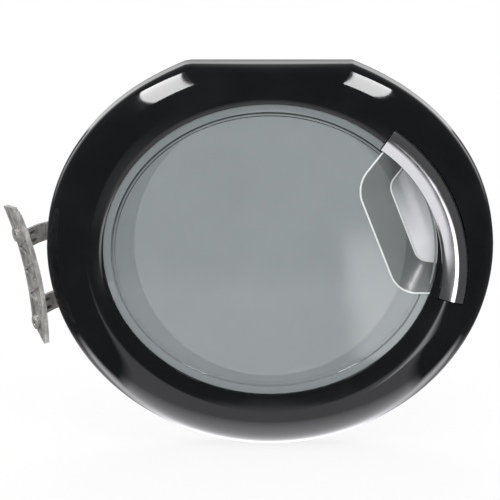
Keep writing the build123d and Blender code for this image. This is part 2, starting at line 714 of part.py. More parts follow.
# Lever behind the bar, with its eyes and the tail that pushes the hook
with BuildPart() as handle_lever:
    with BuildSketch(handle_plane(LEVER_FRONT + LEVER_THICKNESS)):
        add(bar_band(BAR_INNER_RADIUS + BAR_WALL + FIT_GAP, LEVER_STRIP_OUTER, LEVER_HALF_ANGLE))
    extrude(amount=LEVER_THICKNESS)
    for along in (-LEVER_EYE_SPREAD, LEVER_EYE_SPREAD):
        with BuildSketch(handle_section(along)):
            with BuildLine():
                Polyline(
                    (LEVER_STRIP_OUTER + BAR_CENTRE_OUT - EYE_ROOT, LEVER_FRONT),
                    (HANDLE_PIN_OUT, HANDLE_PIN_DEPTH - EYE_RADIUS),
                    (HANDLE_PIN_OUT, HANDLE_PIN_DEPTH + EYE_RADIUS),
                    (LEVER_STRIP_OUTER + BAR_CENTRE_OUT - EYE_ROOT, LEVER_FRONT + LEVER_THICKNESS),
                    close=True,
                )
            make_face()
            with Locations((HANDLE_PIN_OUT, HANDLE_PIN_DEPTH)):
                Circle(EYE_RADIUS)
        extrude(amount=EYE_HALF_LENGTH, both=True)
    with BuildSketch(handle_section(0)):
        with BuildLine():
            Polyline(
                (LEVER_STRIP_OUTER + BAR_CENTRE_OUT - TAIL_ROOT, LEVER_FRONT),
                (HANDLE_PIN_OUT, HANDLE_PIN_DEPTH - EYE_RADIUS),
                (HANDLE_PIN_OUT + EYE_RADIUS, HANDLE_PIN_DEPTH),
                (HANDLE_PIN_OUT + EYE_RADIUS + TAIL_ROOT_END, TAIL_NECK_DEPTH),
                (BAR_OUTER_RADIUS + BAR_CENTRE_OUT + TAIL_ROOT_END, TAIL_NECK_DEPTH),
                (TAIL_OUT + TAIL_THICKNESS, TAIL_SHOULDER),
                (TAIL_OUT + TAIL_THICKNESS, TAIL_END),
                (TAIL_OUT, TAIL_END),
                (TAIL_OUT, TAIL_SHOULDER + TAIL_BEND),
                (HANDLE_PIN_OUT + EYE_RADIUS + NECK_WALL, TAIL_NECK_DEPTH + NECK_WALL),
                (HANDLE_PIN_OUT + NECK_CLEAR_OUT, TAIL_NECK_DEPTH + NECK_CLEAR_DEPTH),
                (LEVER_STRIP_OUTER + BAR_CENTRE_OUT - TAIL_ROOT_END, LEVER_FRONT + LEVER_THICKNESS),
                (LEVER_STRIP_OUTER + BAR_CENTRE_OUT - TAIL_ROOT, LEVER_FRONT + LEVER_THICKNESS),
                close=True,
            )
        make_face()
    extrude(amount=TAIL_WIDTH / 2, both=True)
    with BuildSketch(handle_section(0)):
        with Locations((HANDLE_PIN_OUT, HANDLE_PIN_DEPTH)):
            Circle(HANDLE_PIN_RADIUS + PIN_PLAY)
    extrude(amount=LEVER_EYE_SPREAD + EYE_HALF_LENGTH + OVERCUT, both=True, mode=Mode.SUBTRACT)
    with BuildSketch(handle_plane(LEVER_FRONT + LEVER_THICKNESS + OVERCUT)):
        with Locations(*(bar_point(BAR_SCREW_RADIUS_OUT, side * BAR_SCREW_ANGLE) for side in (-1, 1))):
            Circle(BAR_SCREW_RADIUS + PIN_PLAY)
    extrude(amount=LEVER_THICKNESS + OVERCUT * 2, mode=Mode.SUBTRACT)
finish(handle_lever, "handle_lever")

with BuildPart() as handle_lever_screws:
    with BuildSketch(handle_plane(LEVER_FRONT + LEVER_THICKNESS)):
        with Locations(*(bar_point(BAR_SCREW_RADIUS_OUT, side * BAR_SCREW_ANGLE) for side in (-1, 1))):
            Circle(BAR_SCREW_RADIUS)
    extrude(amount=LEVER_THICKNESS + BAR_SCREW_BITE)
    with BuildSketch(handle_plane(LEVER_FRONT + LEVER_THICKNESS + BAR_SCREW_HEAD_HEIGHT)):
        with Locations(*(bar_point(BAR_SCREW_RADIUS_OUT, side * BAR_SCREW_ANGLE) for side in (-1, 1))):
            Circle(BAR_SCREW_HEAD)
    extrude(amount=BAR_SCREW_HEAD_HEIGHT)
finish(handle_lever_screws, "handle_lever_screws")

# Pins that the lever and the hook turn on
with BuildPart() as handle_pin:
    with BuildSketch(handle_section(0)):
        with Locations((HANDLE_PIN_OUT, HANDLE_PIN_DEPTH)):
            Circle(HANDLE_PIN_RADIUS)
    extrude(amount=HANDLE_PIN_HALF, both=True)
finish(handle_pin, "handle_pin")

with BuildPart() as hook_pin:
    with BuildSketch(handle_section(0)):
        with Locations((HOOK_PIN_OUT, HOOK_PIN_DEPTH)):
            Circle(HOOK_PIN_RADIUS)
    extrude(amount=HOOK_PIN_HALF, both=True)
finish(hook_pin, "hook_pin")

# Hook that the machine's door lock holds
with BuildPart() as latch_hook:
    with BuildSketch(handle_section(0)):
        with BuildLine():
            Polyline(
                (HOOK_PIN_OUT - HOOK_THICKNESS / 2, HOOK_PIN_DEPTH - HOOK_TAIL),
                (HOOK_PIN_OUT + HOOK_THICKNESS / 2, HOOK_PIN_DEPTH - HOOK_TAIL),
                (HOOK_PIN_OUT + HOOK_THICKNESS / 2, HOOK_REACH - HOOK_CHAMFER),
                (HOOK_PIN_OUT + HOOK_THICKNESS / 2 - HOOK_CHAMFER, HOOK_REACH),
                (HOOK_PIN_OUT - HOOK_THICKNESS / 2, HOOK_REACH),
                (HOOK_PIN_OUT - HOOK_THICKNESS / 2 - CLAW_REACH, HOOK_REACH - CLAW_RAMP),
                (HOOK_PIN_OUT - HOOK_THICKNESS / 2 - CLAW_REACH, HOOK_REACH - CLAW_HEIGHT),
                (HOOK_PIN_OUT - HOOK_THICKNESS / 2, HOOK_REACH - CLAW_HEIGHT),
                close=True,
            )
        make_face()
        with Locations((HOOK_PIN_OUT, HOOK_PIN_DEPTH)):
            Circle(HOOK_PIN_RADIUS + PIN_PLAY, mode=Mode.SUBTRACT)
    extrude(amount=HOOK_WIDTH / 2, both=True)
finish(latch_hook, "latch_hook")

# Housing of the pins, on the rear frame
with BuildPart() as latch_housing:
    with BuildSketch(handle_plane(PLATE_FRONT)):
        with Locations(((HOUSING_INNER + HOUSING_OUTER) / 2, 0)):
            RectangleRounded(HOUSING_OUTER - HOUSING_INNER, HOUSING_HALF_LENGTH * 2, HOUSING_CORNER)
    extrude(amount=HOUSING_THICKNESS)
    for along in (-POST_SPREAD, POST_SPREAD):
        with BuildSketch(handle_section(along)):
            with BuildLine():
                Polyline(
                    (POST_INNER, PLATE_FRONT - HOUSING_THICKNESS / 2),
                    (POST_INNER, HANDLE_PIN_DEPTH),
                    (POST_OUTER, HANDLE_PIN_DEPTH),
                    (POST_OUTER, BAR_BACK_DEPTH + POST_STEP),
                    (POST_FOOT, PLATE_FRONT - HOUSING_THICKNESS),
                    (POST_FOOT, PLATE_FRONT - HOUSING_THICKNESS / 2),
                    close=True,
                )
            make_face()
            with Locations((HANDLE_PIN_OUT, HANDLE_PIN_DEPTH)):
                Circle(HANDLE_PIN_OUT - POST_INNER)
        extrude(amount=POST_THICKNESS / 2, both=True)
    for side in (-1, 1):
        with BuildSketch(handle_section(side * (HOOK_WIDTH / 2 + ARM_SIDE_GAP + CHEEK_THICKNESS / 2))):
            with BuildLine():
                Polyline(
                    (HOOK_PIN_OUT - CHEEK_HALF, PLATE_FRONT - HOUSING_THICKNESS / 2),
                    (HOOK_PIN_OUT - CHEEK_HALF, HOOK_PIN_DEPTH - CHEEK_HALF),
                    (HOOK_PIN_OUT + CHEEK_HALF, HOOK_PIN_DEPTH - CHEEK_HALF),
                    (HOOK_PIN_OUT + CHEEK_HALF, PLATE_FRONT - HOUSING_THICKNESS / 2),
                    close=True,
                )
            make_face()
        extrude(amount=CHEEK_THICKNESS / 2, both=True)
    with BuildSketch(handle_section(0)):
        with Locations((HANDLE_PIN_OUT, HANDLE_PIN_DEPTH)):
            Circle(HANDLE_PIN_RADIUS)
    extrude(amount=HOUSING_HALF_LENGTH, both=True, mode=Mode.SUBTRACT)
    with BuildSketch(handle_section(0)):
        with Locations((HOOK_PIN_OUT, HOOK_PIN_DEPTH)):
            Circle(HOOK_PIN_RADIUS)
    extrude(amount=HOOK_PIN_HALF, both=True, mode=Mode.SUBTRACT)
    with BuildSketch(handle_plane(PLATE_FRONT + OVERCUT)):
        add(hook_slot_outline())
    extrude(amount=HOUSING_THICKNESS + OVERCUT * 2, mode=Mode.SUBTRACT)
    with BuildSketch(handle_plane(PLATE_FRONT)):
        with Locations(*HOUSING_SCREW_PLACES):
            Circle(SMALL_SCREW_RADIUS)
    extrude(amount=HOUSING_THICKNESS, mode=Mode.SUBTRACT)
finish(latch_housing, "latch_housing")

with BuildPart() as latch_housing_screws:
    with BuildSketch(handle_plane(RIM_DEPTH)):
        with Locations(*HOUSING_SCREW_PLACES):
            Circle(SMALL_SCREW_RADIUS)
    extrude(amount=PLATE_THICKNESS + HOUSING_THICKNESS)
    with BuildSketch(handle_plane(RIM_DEPTH + SMALL_SCREW_HEAD_HEIGHT)):
        with Locations(*HOUSING_SCREW_PLACES):
            Circle(SMALL_SCREW_HEAD)
    extrude(amount=SMALL_SCREW_HEAD_HEIGHT)
finish(latch_housing_screws, "latch_housing_screws")

# Torsion springs: closed coils round the pins, each with two straight legs
handle_spring = torsion_spring(
    handle_section(HANDLE_SPRING_ALONG),
    HANDLE_PIN_OUT,
    HANDLE_PIN_DEPTH,
    HANDLE_SPRING_RADIUS,
    HANDLE_SPRING_LEG,
)
finish(handle_spring, "handle_spring")
hook_spring = torsion_spring(
    handle_section(HOOK_SPRING_ALONG), HOOK_PIN_OUT, HOOK_PIN_DEPTH, HOOK_SPRING_RADIUS, HOOK_SPRING_LEG
)
finish(hook_spring, "hook_spring")

# Rear frame: back plate with a skirt, a seat for the glass and a collar round the bowl
with BuildPart() as rear_frame:
    with BuildSketch(face_plane(RIM_DEPTH)):
        add(rim_outline(wall_inset(PLATE_FRONT) + RIM_SKIN + FIT_GAP))
    extrude(amount=PLATE_THICKNESS)
    skirt_inset = wall_inset(PLATE_FRONT - SKIRT_HEIGHT) + RIM_SKIN + FIT_GAP
    with BuildSketch(face_plane(PLATE_FRONT)):
        add(rim_outline(skirt_inset))
        add(rim_outline(skirt_inset + SKIRT_THICKNESS), mode=Mode.SUBTRACT)
    extrude(amount=SKIRT_HEIGHT)
    with BuildSketch(face_plane(PLATE_FRONT)):
        Circle(FLANGE_RADIUS + FIT_GAP + SEAT_WALL)
        Circle(FLANGE_RADIUS + FIT_GAP, mode=Mode.SUBTRACT)
    extrude(amount=PLATE_FRONT - FLANGE_FRONT)
    with BuildSketch(face_plane(RIM_DEPTH + COLLAR_HEIGHT)):
        Circle(APERTURE_RADIUS + COLLAR_THICKNESS)
    extrude(amount=COLLAR_HEIGHT)
    with BuildSketch(face_plane(PLATE_FRONT)):
        with Locations(*CLAMP_SCREW_PLACES):
            Circle(CLAMP_BOSS_RADIUS)
    extrude(amount=PLATE_FRONT - FLANGE_FRONT)
    with BuildSketch(face_plane(RIM_DEPTH + COLLAR_HEIGHT + OVERCUT)):
        Circle(APERTURE_RADIUS)
    extrude(amount=COLLAR_HEIGHT + PLATE_THICKNESS + OVERCUT * 2, mode=Mode.SUBTRACT)
    with BuildSketch(face_plane(PLATE_FRONT)):
        with Locations(*CLAMP_SCREW_PLACES):
            Circle(CLAMP_SCREW_RADIUS)
    extrude(amount=CLAMP_SCREW_GRIP, mode=Mode.SUBTRACT)
    with BuildSketch(face_plane(RIM_DEPTH)):
        with Locations(*frame_screw_places()):
            Circle(FRAME_SCREW_RADIUS)
    extrude(amount=PLATE_THICKNESS, mode=Mode.SUBTRACT)
    with BuildSketch(hinge_face(RIM_DEPTH)):
        with Locations(*CARRIER_SCREW_PLACES):
            Circle(CARRIER_SCREW_RADIUS)
    extrude(amount=PLATE_THICKNESS, mode=Mode.SUBTRACT)
    # the skirt stops at the hinge
    with BuildSketch(hinge_face(PLATE_FRONT)):
        with Locations((-NOTCH_REACH_OUT, 0)):
            Rectangle(
                NOTCH_REACH_OUT + CARRIER_END_START,
                (CARRIER_HALF_LENGTH + SKIRT_GAP) * 2,
                align=(Align.MIN, Align.CENTER),
            )
    extrude(amount=SKIRT_HEIGHT, mode=Mode.SUBTRACT)
    with BuildSketch(handle_plane(RIM_DEPTH)):
        with Locations(*HOUSING_SCREW_PLACES):
            Circle(SMALL_SCREW_RADIUS)
        add(hook_slot_outline())
    extrude(amount=PLATE_THICKNESS, mode=Mode.SUBTRACT)
    for side in (-1, 1):
        add(arm_notch(side, NOTCH_REAR_FRAME), mode=Mode.SUBTRACT)
finish(rear_frame, "rear_frame")

# Glass bowl: flange, cone, base with an inclined facet, and the nose
with BuildPart() as glass_bowl:
    add(bowl_solid(0))
    with BuildSketch(face_plane(FLANGE_FRONT + GLASS)):
        Circle(FLANGE_RADIUS)
    extrude(amount=GLASS)
    add(bowl_solid(GLASS), mode=Mode.SUBTRACT)
finish(glass_bowl, "glass_bowl")

with BuildPart() as bowl_gasket:
    with BuildSketch(face_plane(PLATE_FRONT)):
        Circle(FLANGE_RADIUS - SLIVER_GAP)
        Circle(APERTURE_RADIUS + SLIVER_GAP, mode=Mode.SUBTRACT)
    extrude(amount=GASKET_THICKNESS)
finish(bowl_gasket, "bowl_gasket")

# Ring that holds the glass from the front, with an ear for each screw
with BuildPart() as bowl_clamp_ring:
    with BuildSketch(face_plane(FLANGE_FRONT)):
        Circle(CLAMP_OUTER)
        with Locations(*CLAMP_SCREW_PLACES):
            Circle(CLAMP_EAR_RADIUS)
        Circle(CLAMP_INNER, mode=Mode.SUBTRACT)
        with Locations(*CLAMP_SCREW_PLACES):
            Circle(CLAMP_SCREW_RADIUS, mode=Mode.SUBTRACT)
    extrude(amount=CLAMP_THICKNESS)
finish(bowl_clamp_ring, "bowl_clamp_ring")

with BuildPart() as clamp_ring_screws:
    add(cylinder_at(face_plane(PLATE_FRONT - 1), CLAMP_SCREW_PLACES, CLAMP_SCREW_RADIUS,
                    CLAMP_SCREW_GRIP + CLAMP_THICKNESS - 1))
    add(cylinder_at(face_plane(FLANGE_FRONT - CLAMP_THICKNESS), CLAMP_SCREW_PLACES, CLAMP_SCREW_HEAD,
                    CLAMP_SCREW_HEAD_HEIGHT))
finish(clamp_ring_screws, "clamp_ring_screws")

with BuildPart() as frame_screws:
    add(cylinder_at(face_plane(RIM_DEPTH), frame_screw_places(), FRAME_SCREW_RADIUS,
                    PLATE_THICKNESS + FRAME_SCREW_LENGTH))
    add(cylinder_at(face_plane(RIM_DEPTH + FRAME_SCREW_HEAD_HEIGHT), frame_screw_places(), FRAME_SCREW_HEAD,
                    FRAME_SCREW_HEAD_HEIGHT))
finish(frame_screws, "frame_screws")

# Hinge casting, as it stands with the door wide open
PLATE_BACK = PIN_TO_FACE - BOSS_STAND - PLATE_ARCH
PLATE_NEAR = PLATE_CENTRE_ACROSS - PLATE_WIDTH / 2
PLATE_FAR = PLATE_CENTRE_ACROSS + PLATE_WIDTH / 2
BOLT_PLACES = [(PLATE_CENTRE_ACROSS, side * HINGE_BOLT_SPACING / 2) for side in (-1, 1)]
with BuildPart() as rib_pockets:
    with BuildSketch(plate_face(PIN_TO_FACE)):
        for index in range(-2, 4):
            start = (index - 0.5) * RIB_PITCH
            near, far = PLATE_NEAR + RIB_MARGIN, PLATE_FAR - RIB_MARGIN
            base, point = (near, far) if index % 2 else (far, near)
            with BuildLine():
                Polyline(
                    (base, start - RIB_PITCH + RIB_WIDTH),
                    (base, start + RIB_PITCH - RIB_WIDTH),
                    (point, start),
                    close=True,
                )
            make_face()
    extrude(amount=HINGE_PLATE_THICKNESS + PLATE_ARCH)
    add(plate_slab(PLATE_BACK + OVERCUT, RIB_POCKET_DEPTH + OVERCUT), mode=Mode.INTERSECT)

with BuildPart() as hinge_bracket:
    with BuildSketch(plate_face(PIN_TO_FACE)):
        with BuildLine():
            Polyline(
                (PLATE_NEAR + STEP_DEPTH * 2, PLATE_TOP),
                (PLATE_FAR, PLATE_TOP),
                (PLATE_FAR, -PLATE_TAPER_START),
                (PLATE_NEAR + STEP_DEPTH, -PLATE_BOTTOM),
                (PLATE_NEAR + 1, -PLATE_BOTTOM),
            )
            ThreePointArc(
                (PLATE_NEAR + 1, -PLATE_BOTTOM),
                (PLATE_NEAR, 0),
                (PLATE_NEAR + STEP_DEPTH / 2, PLATE_TOP - STEP_DEPTH * 2),
            )
            Polyline(
                (PLATE_NEAR + STEP_DEPTH / 2, PLATE_TOP - STEP_DEPTH * 2),
                (PLATE_NEAR + STEP_DEPTH, PLATE_TOP - STEP_DEPTH * 2),
                (PLATE_NEAR + STEP_DEPTH, PLATE_TOP - STEP_DEPTH),
                (PLATE_NEAR + STEP_DEPTH * 2, PLATE_TOP - STEP_DEPTH),
                (PLATE_NEAR + STEP_DEPTH * 2, PLATE_TOP),
            )
        make_face()
    extrude(amount=HINGE_PLATE_THICKNESS + PLATE_ARCH * 2)
    add(plate_slab(PLATE_BACK, HINGE_PLATE_THICKNESS), mode=Mode.INTERSECT)
    add(rib_pockets, mode=Mode.SUBTRACT)
    add(cylinder_at(plate_face(PIN_TO_FACE), BOLT_PLACES, BOSS_RADIUS, BOSS_STAND + PLATE_ARCH))
    for side in (-1, 1):
        with BuildSketch(hinge_section(side * ARM_SPREAD, OPEN_ANGLE)):
            with BuildLine():
                FilletPolyline((0, 0), ARM_ELBOW, ARM_KNEE, ARM_FOOT, radius=(ELBOW_RADIUS, KNEE_RADIUS))
            trace(line_width=ARM_THICKNESS)
            Circle(ARM_EYE_RADIUS)
            Circle(HINGE_PIN_RADIUS + BUSH_WALL, mode=Mode.SUBTRACT)
        extrude(amount=ARM_WIDTH / 2, both=True)
    slope = degrees(atan2(ARM_FOOT[0] - ARM_KNEE[0], ARM_FOOT[1] - ARM_KNEE[1]))
    bolt_start = plate_face(PIN_TO_FACE + OVERCUT)
    add(cylinder_at(bolt_start, BOLT_PLACES, HINGE_BOLT_HOLE, PLATE_WIDTH / 2), mode=Mode.SUBTRACT)
    for side in (-1, 1):
        opened = hinge_section(side * ARM_SPREAD, OPEN_ANGLE)
        centre = opened.from_local_coords((SLOT_CENTRE_ACROSS, SLOT_CENTRE_DEPTH, 0))
        run = (opened.y_dir * cos(radians(slope)) + opened.x_dir * sin(radians(slope)))
        inward = run.cross(HINGE_AXIS)
        with BuildSketch(Plane(centre - inward * ARM_THICKNESS, x_dir=run, z_dir=inward)):
            with GridLocations(SLOT_STEP * 2, SLOT_ROW * 2, 2, 2):
                SlotOverall(SLOT_LENGTH, SLOT_WIDTH)
        extrude(amount=ARM_THICKNESS * 1.5 - SLOT_FLOOR, mode=Mode.SUBTRACT)
finish(hinge_bracket, "hinge_bracket")

for side, place in ((1, "upper"), (-1, "lower")):
    with BuildPart() as hinge_bush:
        with BuildSketch(hinge_section(side * ARM_SPREAD)):
            Circle(HINGE_PIN_RADIUS + BUSH_WALL)
            Circle(HINGE_PIN_RADIUS + PIN_PLAY, mode=Mode.SUBTRACT)
        extrude(amount=ARM_WIDTH / 2, both=True)
    finish(hinge_bush, f"hinge_bush_{place}")
    with BuildPart() as hinge_pin:
        with BuildSketch(hinge_section(side * ARM_SPREAD)):
            Circle(HINGE_PIN_RADIUS)
        extrude(amount=ARM_WIDTH / 2 + ARM_SIDE_GAP + LUG_THICKNESS + PIN_END, both=True)
        chamfer(hinge_pin.edges().filter_by(GeomType.CIRCLE), PIN_END / 2)
    finish(hinge_pin, f"hinge_pin_{place}")

# Steel carrier of the hinge pins, on the rear frame
with BuildPart() as hinge_carrier:
    clear = ARM_WIDTH / 2 + ARM_SIDE_GAP
    middle_half = ARM_SPREAD - clear
    end_length = CARRIER_HALF_LENGTH - ARM_SPREAD - clear
    with BuildSketch(hinge_face(PLATE_FRONT)):
        with Locations((CARRIER_INNER_START, 0)):
            Rectangle(CARRIER_REACH - CARRIER_INNER_START, middle_half * 2, align=(Align.MIN, Align.CENTER))
        for side in (-1, 1):
            with Locations((CARRIER_END_START, side * (CARRIER_HALF_LENGTH - end_length / 2))):
                Rectangle(CARRIER_REACH - CARRIER_END_START, end_length, align=(Align.MIN, Align.CENTER))
        with Locations(*CARRIER_SCREW_PLACES):
            Circle(CARRIER_SCREW_RADIUS, mode=Mode.SUBTRACT)
    extrude(amount=CARRIER_THICKNESS)
    base_depth = PLATE_FRONT + DOOR_Y - HINGE_PIN.Y
    for side in (-1, 1):
        for face in (-1, 1):
            with BuildSketch(hinge_section(side * ARM_SPREAD + face * (clear + LUG_THICKNESS / 2))):
                Circle(LUG_RADIUS)
                with Locations((0, -LUG_FRONT)):
                    Rectangle(LUG_DEPTH, LUG_FRONT + base_depth, align=(Align.MIN, Align.MIN))
            extrude(amount=LUG_THICKNESS / 2, both=True)
        with BuildSketch(hinge_section(side * ARM_SPREAD)):
            with Locations((0, -LUG_FRONT)):
                Rectangle(LUG_DEPTH, CARRIER_THICKNESS, align=(Align.MIN, Align.MIN))
        extrude(amount=clear + LUG_THICKNESS, both=True)
        with BuildSketch(hinge_section(side * ARM_SPREAD)):
            Circle(HINGE_PIN_RADIUS)
        extrude(amount=clear + LUG_THICKNESS, both=True, mode=Mode.SUBTRACT)
finish(hinge_carrier, "hinge_carrier")

with BuildPart() as hinge_carrier_screws:
    add(cylinder_at(hinge_face(RIM_DEPTH), CARRIER_SCREW_PLACES, CARRIER_SCREW_RADIUS,
                    PLATE_THICKNESS + CARRIER_THICKNESS))
    heads = hinge_face(RIM_DEPTH + CARRIER_SCREW_HEAD_HEIGHT)
    add(cylinder_at(heads, CARRIER_SCREW_PLACES, CARRIER_SCREW_HEAD, CARRIER_SCREW_HEAD_HEIGHT))
finish(hinge_carrier_screws, "hinge_carrier_screws")
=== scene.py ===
"""Dressed model of a washing machine door.

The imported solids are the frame. This script gives every solid its finish, and puts smoother
skins over the forms that carry the look: the domed ring, the smoked cover with its finger
pocket, the chrome handle bar and the glass bowl. Lengths of the door's pieces are millimetres in
the door's own frame: x to the right, y back from the front of the ring, z up, from the door's
centre. The studio is in metres.
"""

import logging
from dataclasses import dataclass
from enum import Enum
from math import atan2, cos, pi, radians, sin, sqrt, tan
from typing import Iterable, Optional, Sequence, Union

import bmesh
import bpy
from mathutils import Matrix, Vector


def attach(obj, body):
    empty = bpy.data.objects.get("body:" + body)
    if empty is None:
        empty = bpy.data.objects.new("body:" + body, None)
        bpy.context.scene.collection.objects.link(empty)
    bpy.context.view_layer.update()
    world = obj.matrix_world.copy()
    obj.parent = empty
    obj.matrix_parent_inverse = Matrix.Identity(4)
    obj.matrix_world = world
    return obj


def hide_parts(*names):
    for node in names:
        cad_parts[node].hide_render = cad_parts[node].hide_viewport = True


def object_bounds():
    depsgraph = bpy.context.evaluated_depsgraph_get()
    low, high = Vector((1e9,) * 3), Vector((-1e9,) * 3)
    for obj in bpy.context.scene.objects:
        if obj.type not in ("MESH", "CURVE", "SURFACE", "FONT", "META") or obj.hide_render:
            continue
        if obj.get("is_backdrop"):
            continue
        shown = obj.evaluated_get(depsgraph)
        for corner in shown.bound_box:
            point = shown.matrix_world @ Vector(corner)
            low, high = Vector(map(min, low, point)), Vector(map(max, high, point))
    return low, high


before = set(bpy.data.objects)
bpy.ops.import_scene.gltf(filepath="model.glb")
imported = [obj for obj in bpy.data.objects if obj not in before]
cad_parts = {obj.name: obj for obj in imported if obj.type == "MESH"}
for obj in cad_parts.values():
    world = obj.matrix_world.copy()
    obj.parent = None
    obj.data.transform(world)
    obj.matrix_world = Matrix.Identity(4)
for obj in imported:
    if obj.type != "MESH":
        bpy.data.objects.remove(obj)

log = logging.getLogger("door")

DOOR_CENTRE = Vector((257.9, -14.0, 32.7))
Row = list[Vector]
Value = Union["Signal", float]
Color = tuple[float, float, float]
Point = tuple[float, float]
Span = tuple[float, float]
Stretch = tuple[float, float, float]
WHITE = (1.0, 1.0, 1.0, 1.0)
MM = 1000.0


def at(x: float, y: float, z: float) -> Vector:
    """Point of the row frame, in metres, from door millimetres."""
    return (Vector((x, y, z)) + DOOR_CENTRE) / MM


def between(first: float, last: float, share: float) -> float:
    """Value part of the way from the first to the last."""
    return first + (last - first) * share


class Body(Enum):
    """The bodies that the skins ride on."""

    DOOR = "door"
    HANDLE = "handle"


class Signal:
    """A number that a shader computes, with arithmetic that adds Math nodes."""

    def __init__(self, shader: "Shader", socket: bpy.types.NodeSocket) -> None:
        """Wraps one output socket.

        Args:
            shader: the shader that the socket belongs to.
            socket: the output socket.
        """
        self.shader = shader
        self.socket = socket

    def _math(self, operation: str, first: Value, second: Value) -> "Signal":
        """Adds one Math node and returns its result."""
        made = self.shader.node("ShaderNodeMath", {"operation": operation}, {0: first, 1: second})
        return Signal(self.shader, made.outputs[0])

    def __add__(self, other: Value) -> "Signal":
        """Sum of two values."""
        return self._math("ADD", self, other)

    __radd__ = __add__

    def __sub__(self, other: Value) -> "Signal":
        """Difference of two values."""
        return self._math("SUBTRACT", self, other)

    def __rsub__(self, other: Value) -> "Signal":
        """Difference, with this value taken away."""
        return self._math("SUBTRACT", other, self)

    def __mul__(self, other: Value) -> "Signal":
        """Product of two values."""
        return self._math("MULTIPLY", self, other)

    __rmul__ = __mul__

    def largest(self, other: Value) -> "Signal":
        """The larger of two values."""
        return self._math("MAXIMUM", self, other)


class Shader:
    """A node tree that is built up by one method."""

    def __init__(self, tree: bpy.types.NodeTree) -> None:
        """Empties the tree.

        Args:
            tree: node tree of a material or a world.
        """
        self.tree = tree
        tree.nodes.clear()

    def node(
        self,
        kind: str,
        settings: Optional[dict] = None,
        inputs: Optional[dict] = None,
    ) -> bpy.types.Node:
        """Adds one node.

        Args:
            kind: the node's type.
            settings: properties, set before the sockets.
            inputs: socket name or number to a value, a socket or a Signal.

        Returns:
            The new node.
        """
        made = self.tree.nodes.new(kind)
        for key, value in (settings or {}).items():
            setattr(made, key, value)
        for key, value in (inputs or {}).items():
            if isinstance(value, Signal):
                value = value.socket
            if isinstance(value, bpy.types.NodeSocket):
                self.tree.links.new(value, made.inputs[key])
            else:
                made.inputs[key].default_value = value
        return made

    def noise(
        self, scale: float, detail: float, stretch: Stretch = (1.0, 1.0, 1.0)
    ) -> Signal:
        """Noise over the object's own space.

        Args:
            scale: how fine the noise is, per metre.
            detail: number of octaves.
            stretch: scale along each axis.

        Returns:
            The noise, from 0 to 1.
        """
        place = self.node("ShaderNodeTexCoord")
        mapped = self.node(
            "ShaderNodeMapping", {}, {"Vector": place.outputs["Object"], "Scale": tuple(stretch)}
        )
        levels = {"Scale": scale, "Detail": detail, "Roughness": 0.6}
        made = self.node("ShaderNodeTexNoise", {}, {"Vector": mapped.outputs["Vector"], **levels})
        return Signal(self, made.outputs[0])

    def ramp(
        self, value: Value, low: float, high: float, start: float = 0.0, end: float = 1.0
    ) -> Signal:
        """Value mapped from a span to a span and held at its ends.

        Args:
            value: the value.
            low: value that maps to start.
            high: value that maps to end.
            start: result at low.
            end: result at high.

        Returns:
            The mapped value.
        """
        made = self.node(
            "ShaderNodeMapRange",
            {"clamp": True},
            {"Value": value, "From Min": low, "From Max": high, "To Min": start, "To Max": end},
        )
        return Signal(self, made.outputs[0])

    def blend(self, factor: Value, first: Color, second: Color) -> bpy.types.NodeSocket:
        """Mix of two plain colours by a factor.

        Args:
            factor: 0 for the first, 1 for the second.
            first: linear colour.
            second: linear colour.

        Returns:
            The colour's socket.
        """
        made = self.node("ShaderNodeMix", {"data_type": "RGBA"}, {0: factor})
        made.inputs[6].default_value = (*first, 1.0)
        made.inputs[7].default_value = (*second, 1.0)
        return made.outputs[2]

    def seen(self) -> Signal:
        """One for rays that the camera sends or that clear parts let through."""
        path = self.node("ShaderNodeLightPath")
        through = Signal(self, path.outputs["Is Transmission Ray"])
        return Signal(self, path.outputs["Is Camera Ray"]).largest(through)

    def mirrored(self) -> Signal:
        """One for rays that a gloss throws back."""
        path = self.node("ShaderNodeLightPath")
        through = Signal(self, path.outputs["Is Transmission Ray"])
        return Signal(self, path.outputs["Is Glossy Ray"]) * (1.0 - through)

    def place(self, space: str) -> tuple[Signal, Signal, Signal]:
        """The x, y and z of a texture space."""
        point = self.node("ShaderNodeTexCoord")
        parts = self.node("ShaderNodeSeparateXYZ", {}, {"Vector": point.outputs[space]})
        return tuple(Signal(self, out) for out in parts.outputs)

    def tinted(self, color: Color, level: Value) -> bpy.types.NodeSocket:
        """Colour times a level.

        Args:
            color: red, green and blue.
            level: how many times the colour.

        Returns:
            The scaled colour's socket.
        """
        made = self.node("ShaderNodeVectorMath", {"operation": "SCALE"}, {0: color, 3: level})
        return made.outputs[0]

    def bump(self, height: Value, distance: float, strength: float) -> bpy.types.NodeSocket:
        """Normal that follows a height.

        Args:
            height: height from 0 to 1.
            distance: metres that a height of 1 stands up.
            strength: share of the effect.

        Returns:
            The normal's socket.
        """
        made = self.node(
            "ShaderNodeBump", {}, {"Height": height, "Distance": distance, "Strength": strength}
        )
        return made.outputs[0]


class Surface(Shader):
    """A material with a Principled shader."""

    def __init__(self, name: str, **levels: object) -> None:
        """Makes the material.

        Args:
            name: the material's name.
            levels: plain values of the shader's sockets, with underscores for spaces.
        """
        self.material = bpy.data.materials.new(name)
        self.material.use_nodes = True
        super().__init__(self.material.node_tree)
        self.shader = self.node("ShaderNodeBsdfPrincipled")
        for key, value in levels.items():
            self.shader.inputs[key.replace("_", " ")].default_value = value
        self.node("ShaderNodeOutputMaterial", {}, {"Surface": self.shader.outputs[0]})

    def feed(self, socket: str, value: Union[Signal, bpy.types.NodeSocket]) -> None:
        """Links a varying value to one of the shader's sockets."""
        source = value.socket if isinstance(value, Signal) else value
        self.tree.links.new(source, self.shader.inputs[socket])


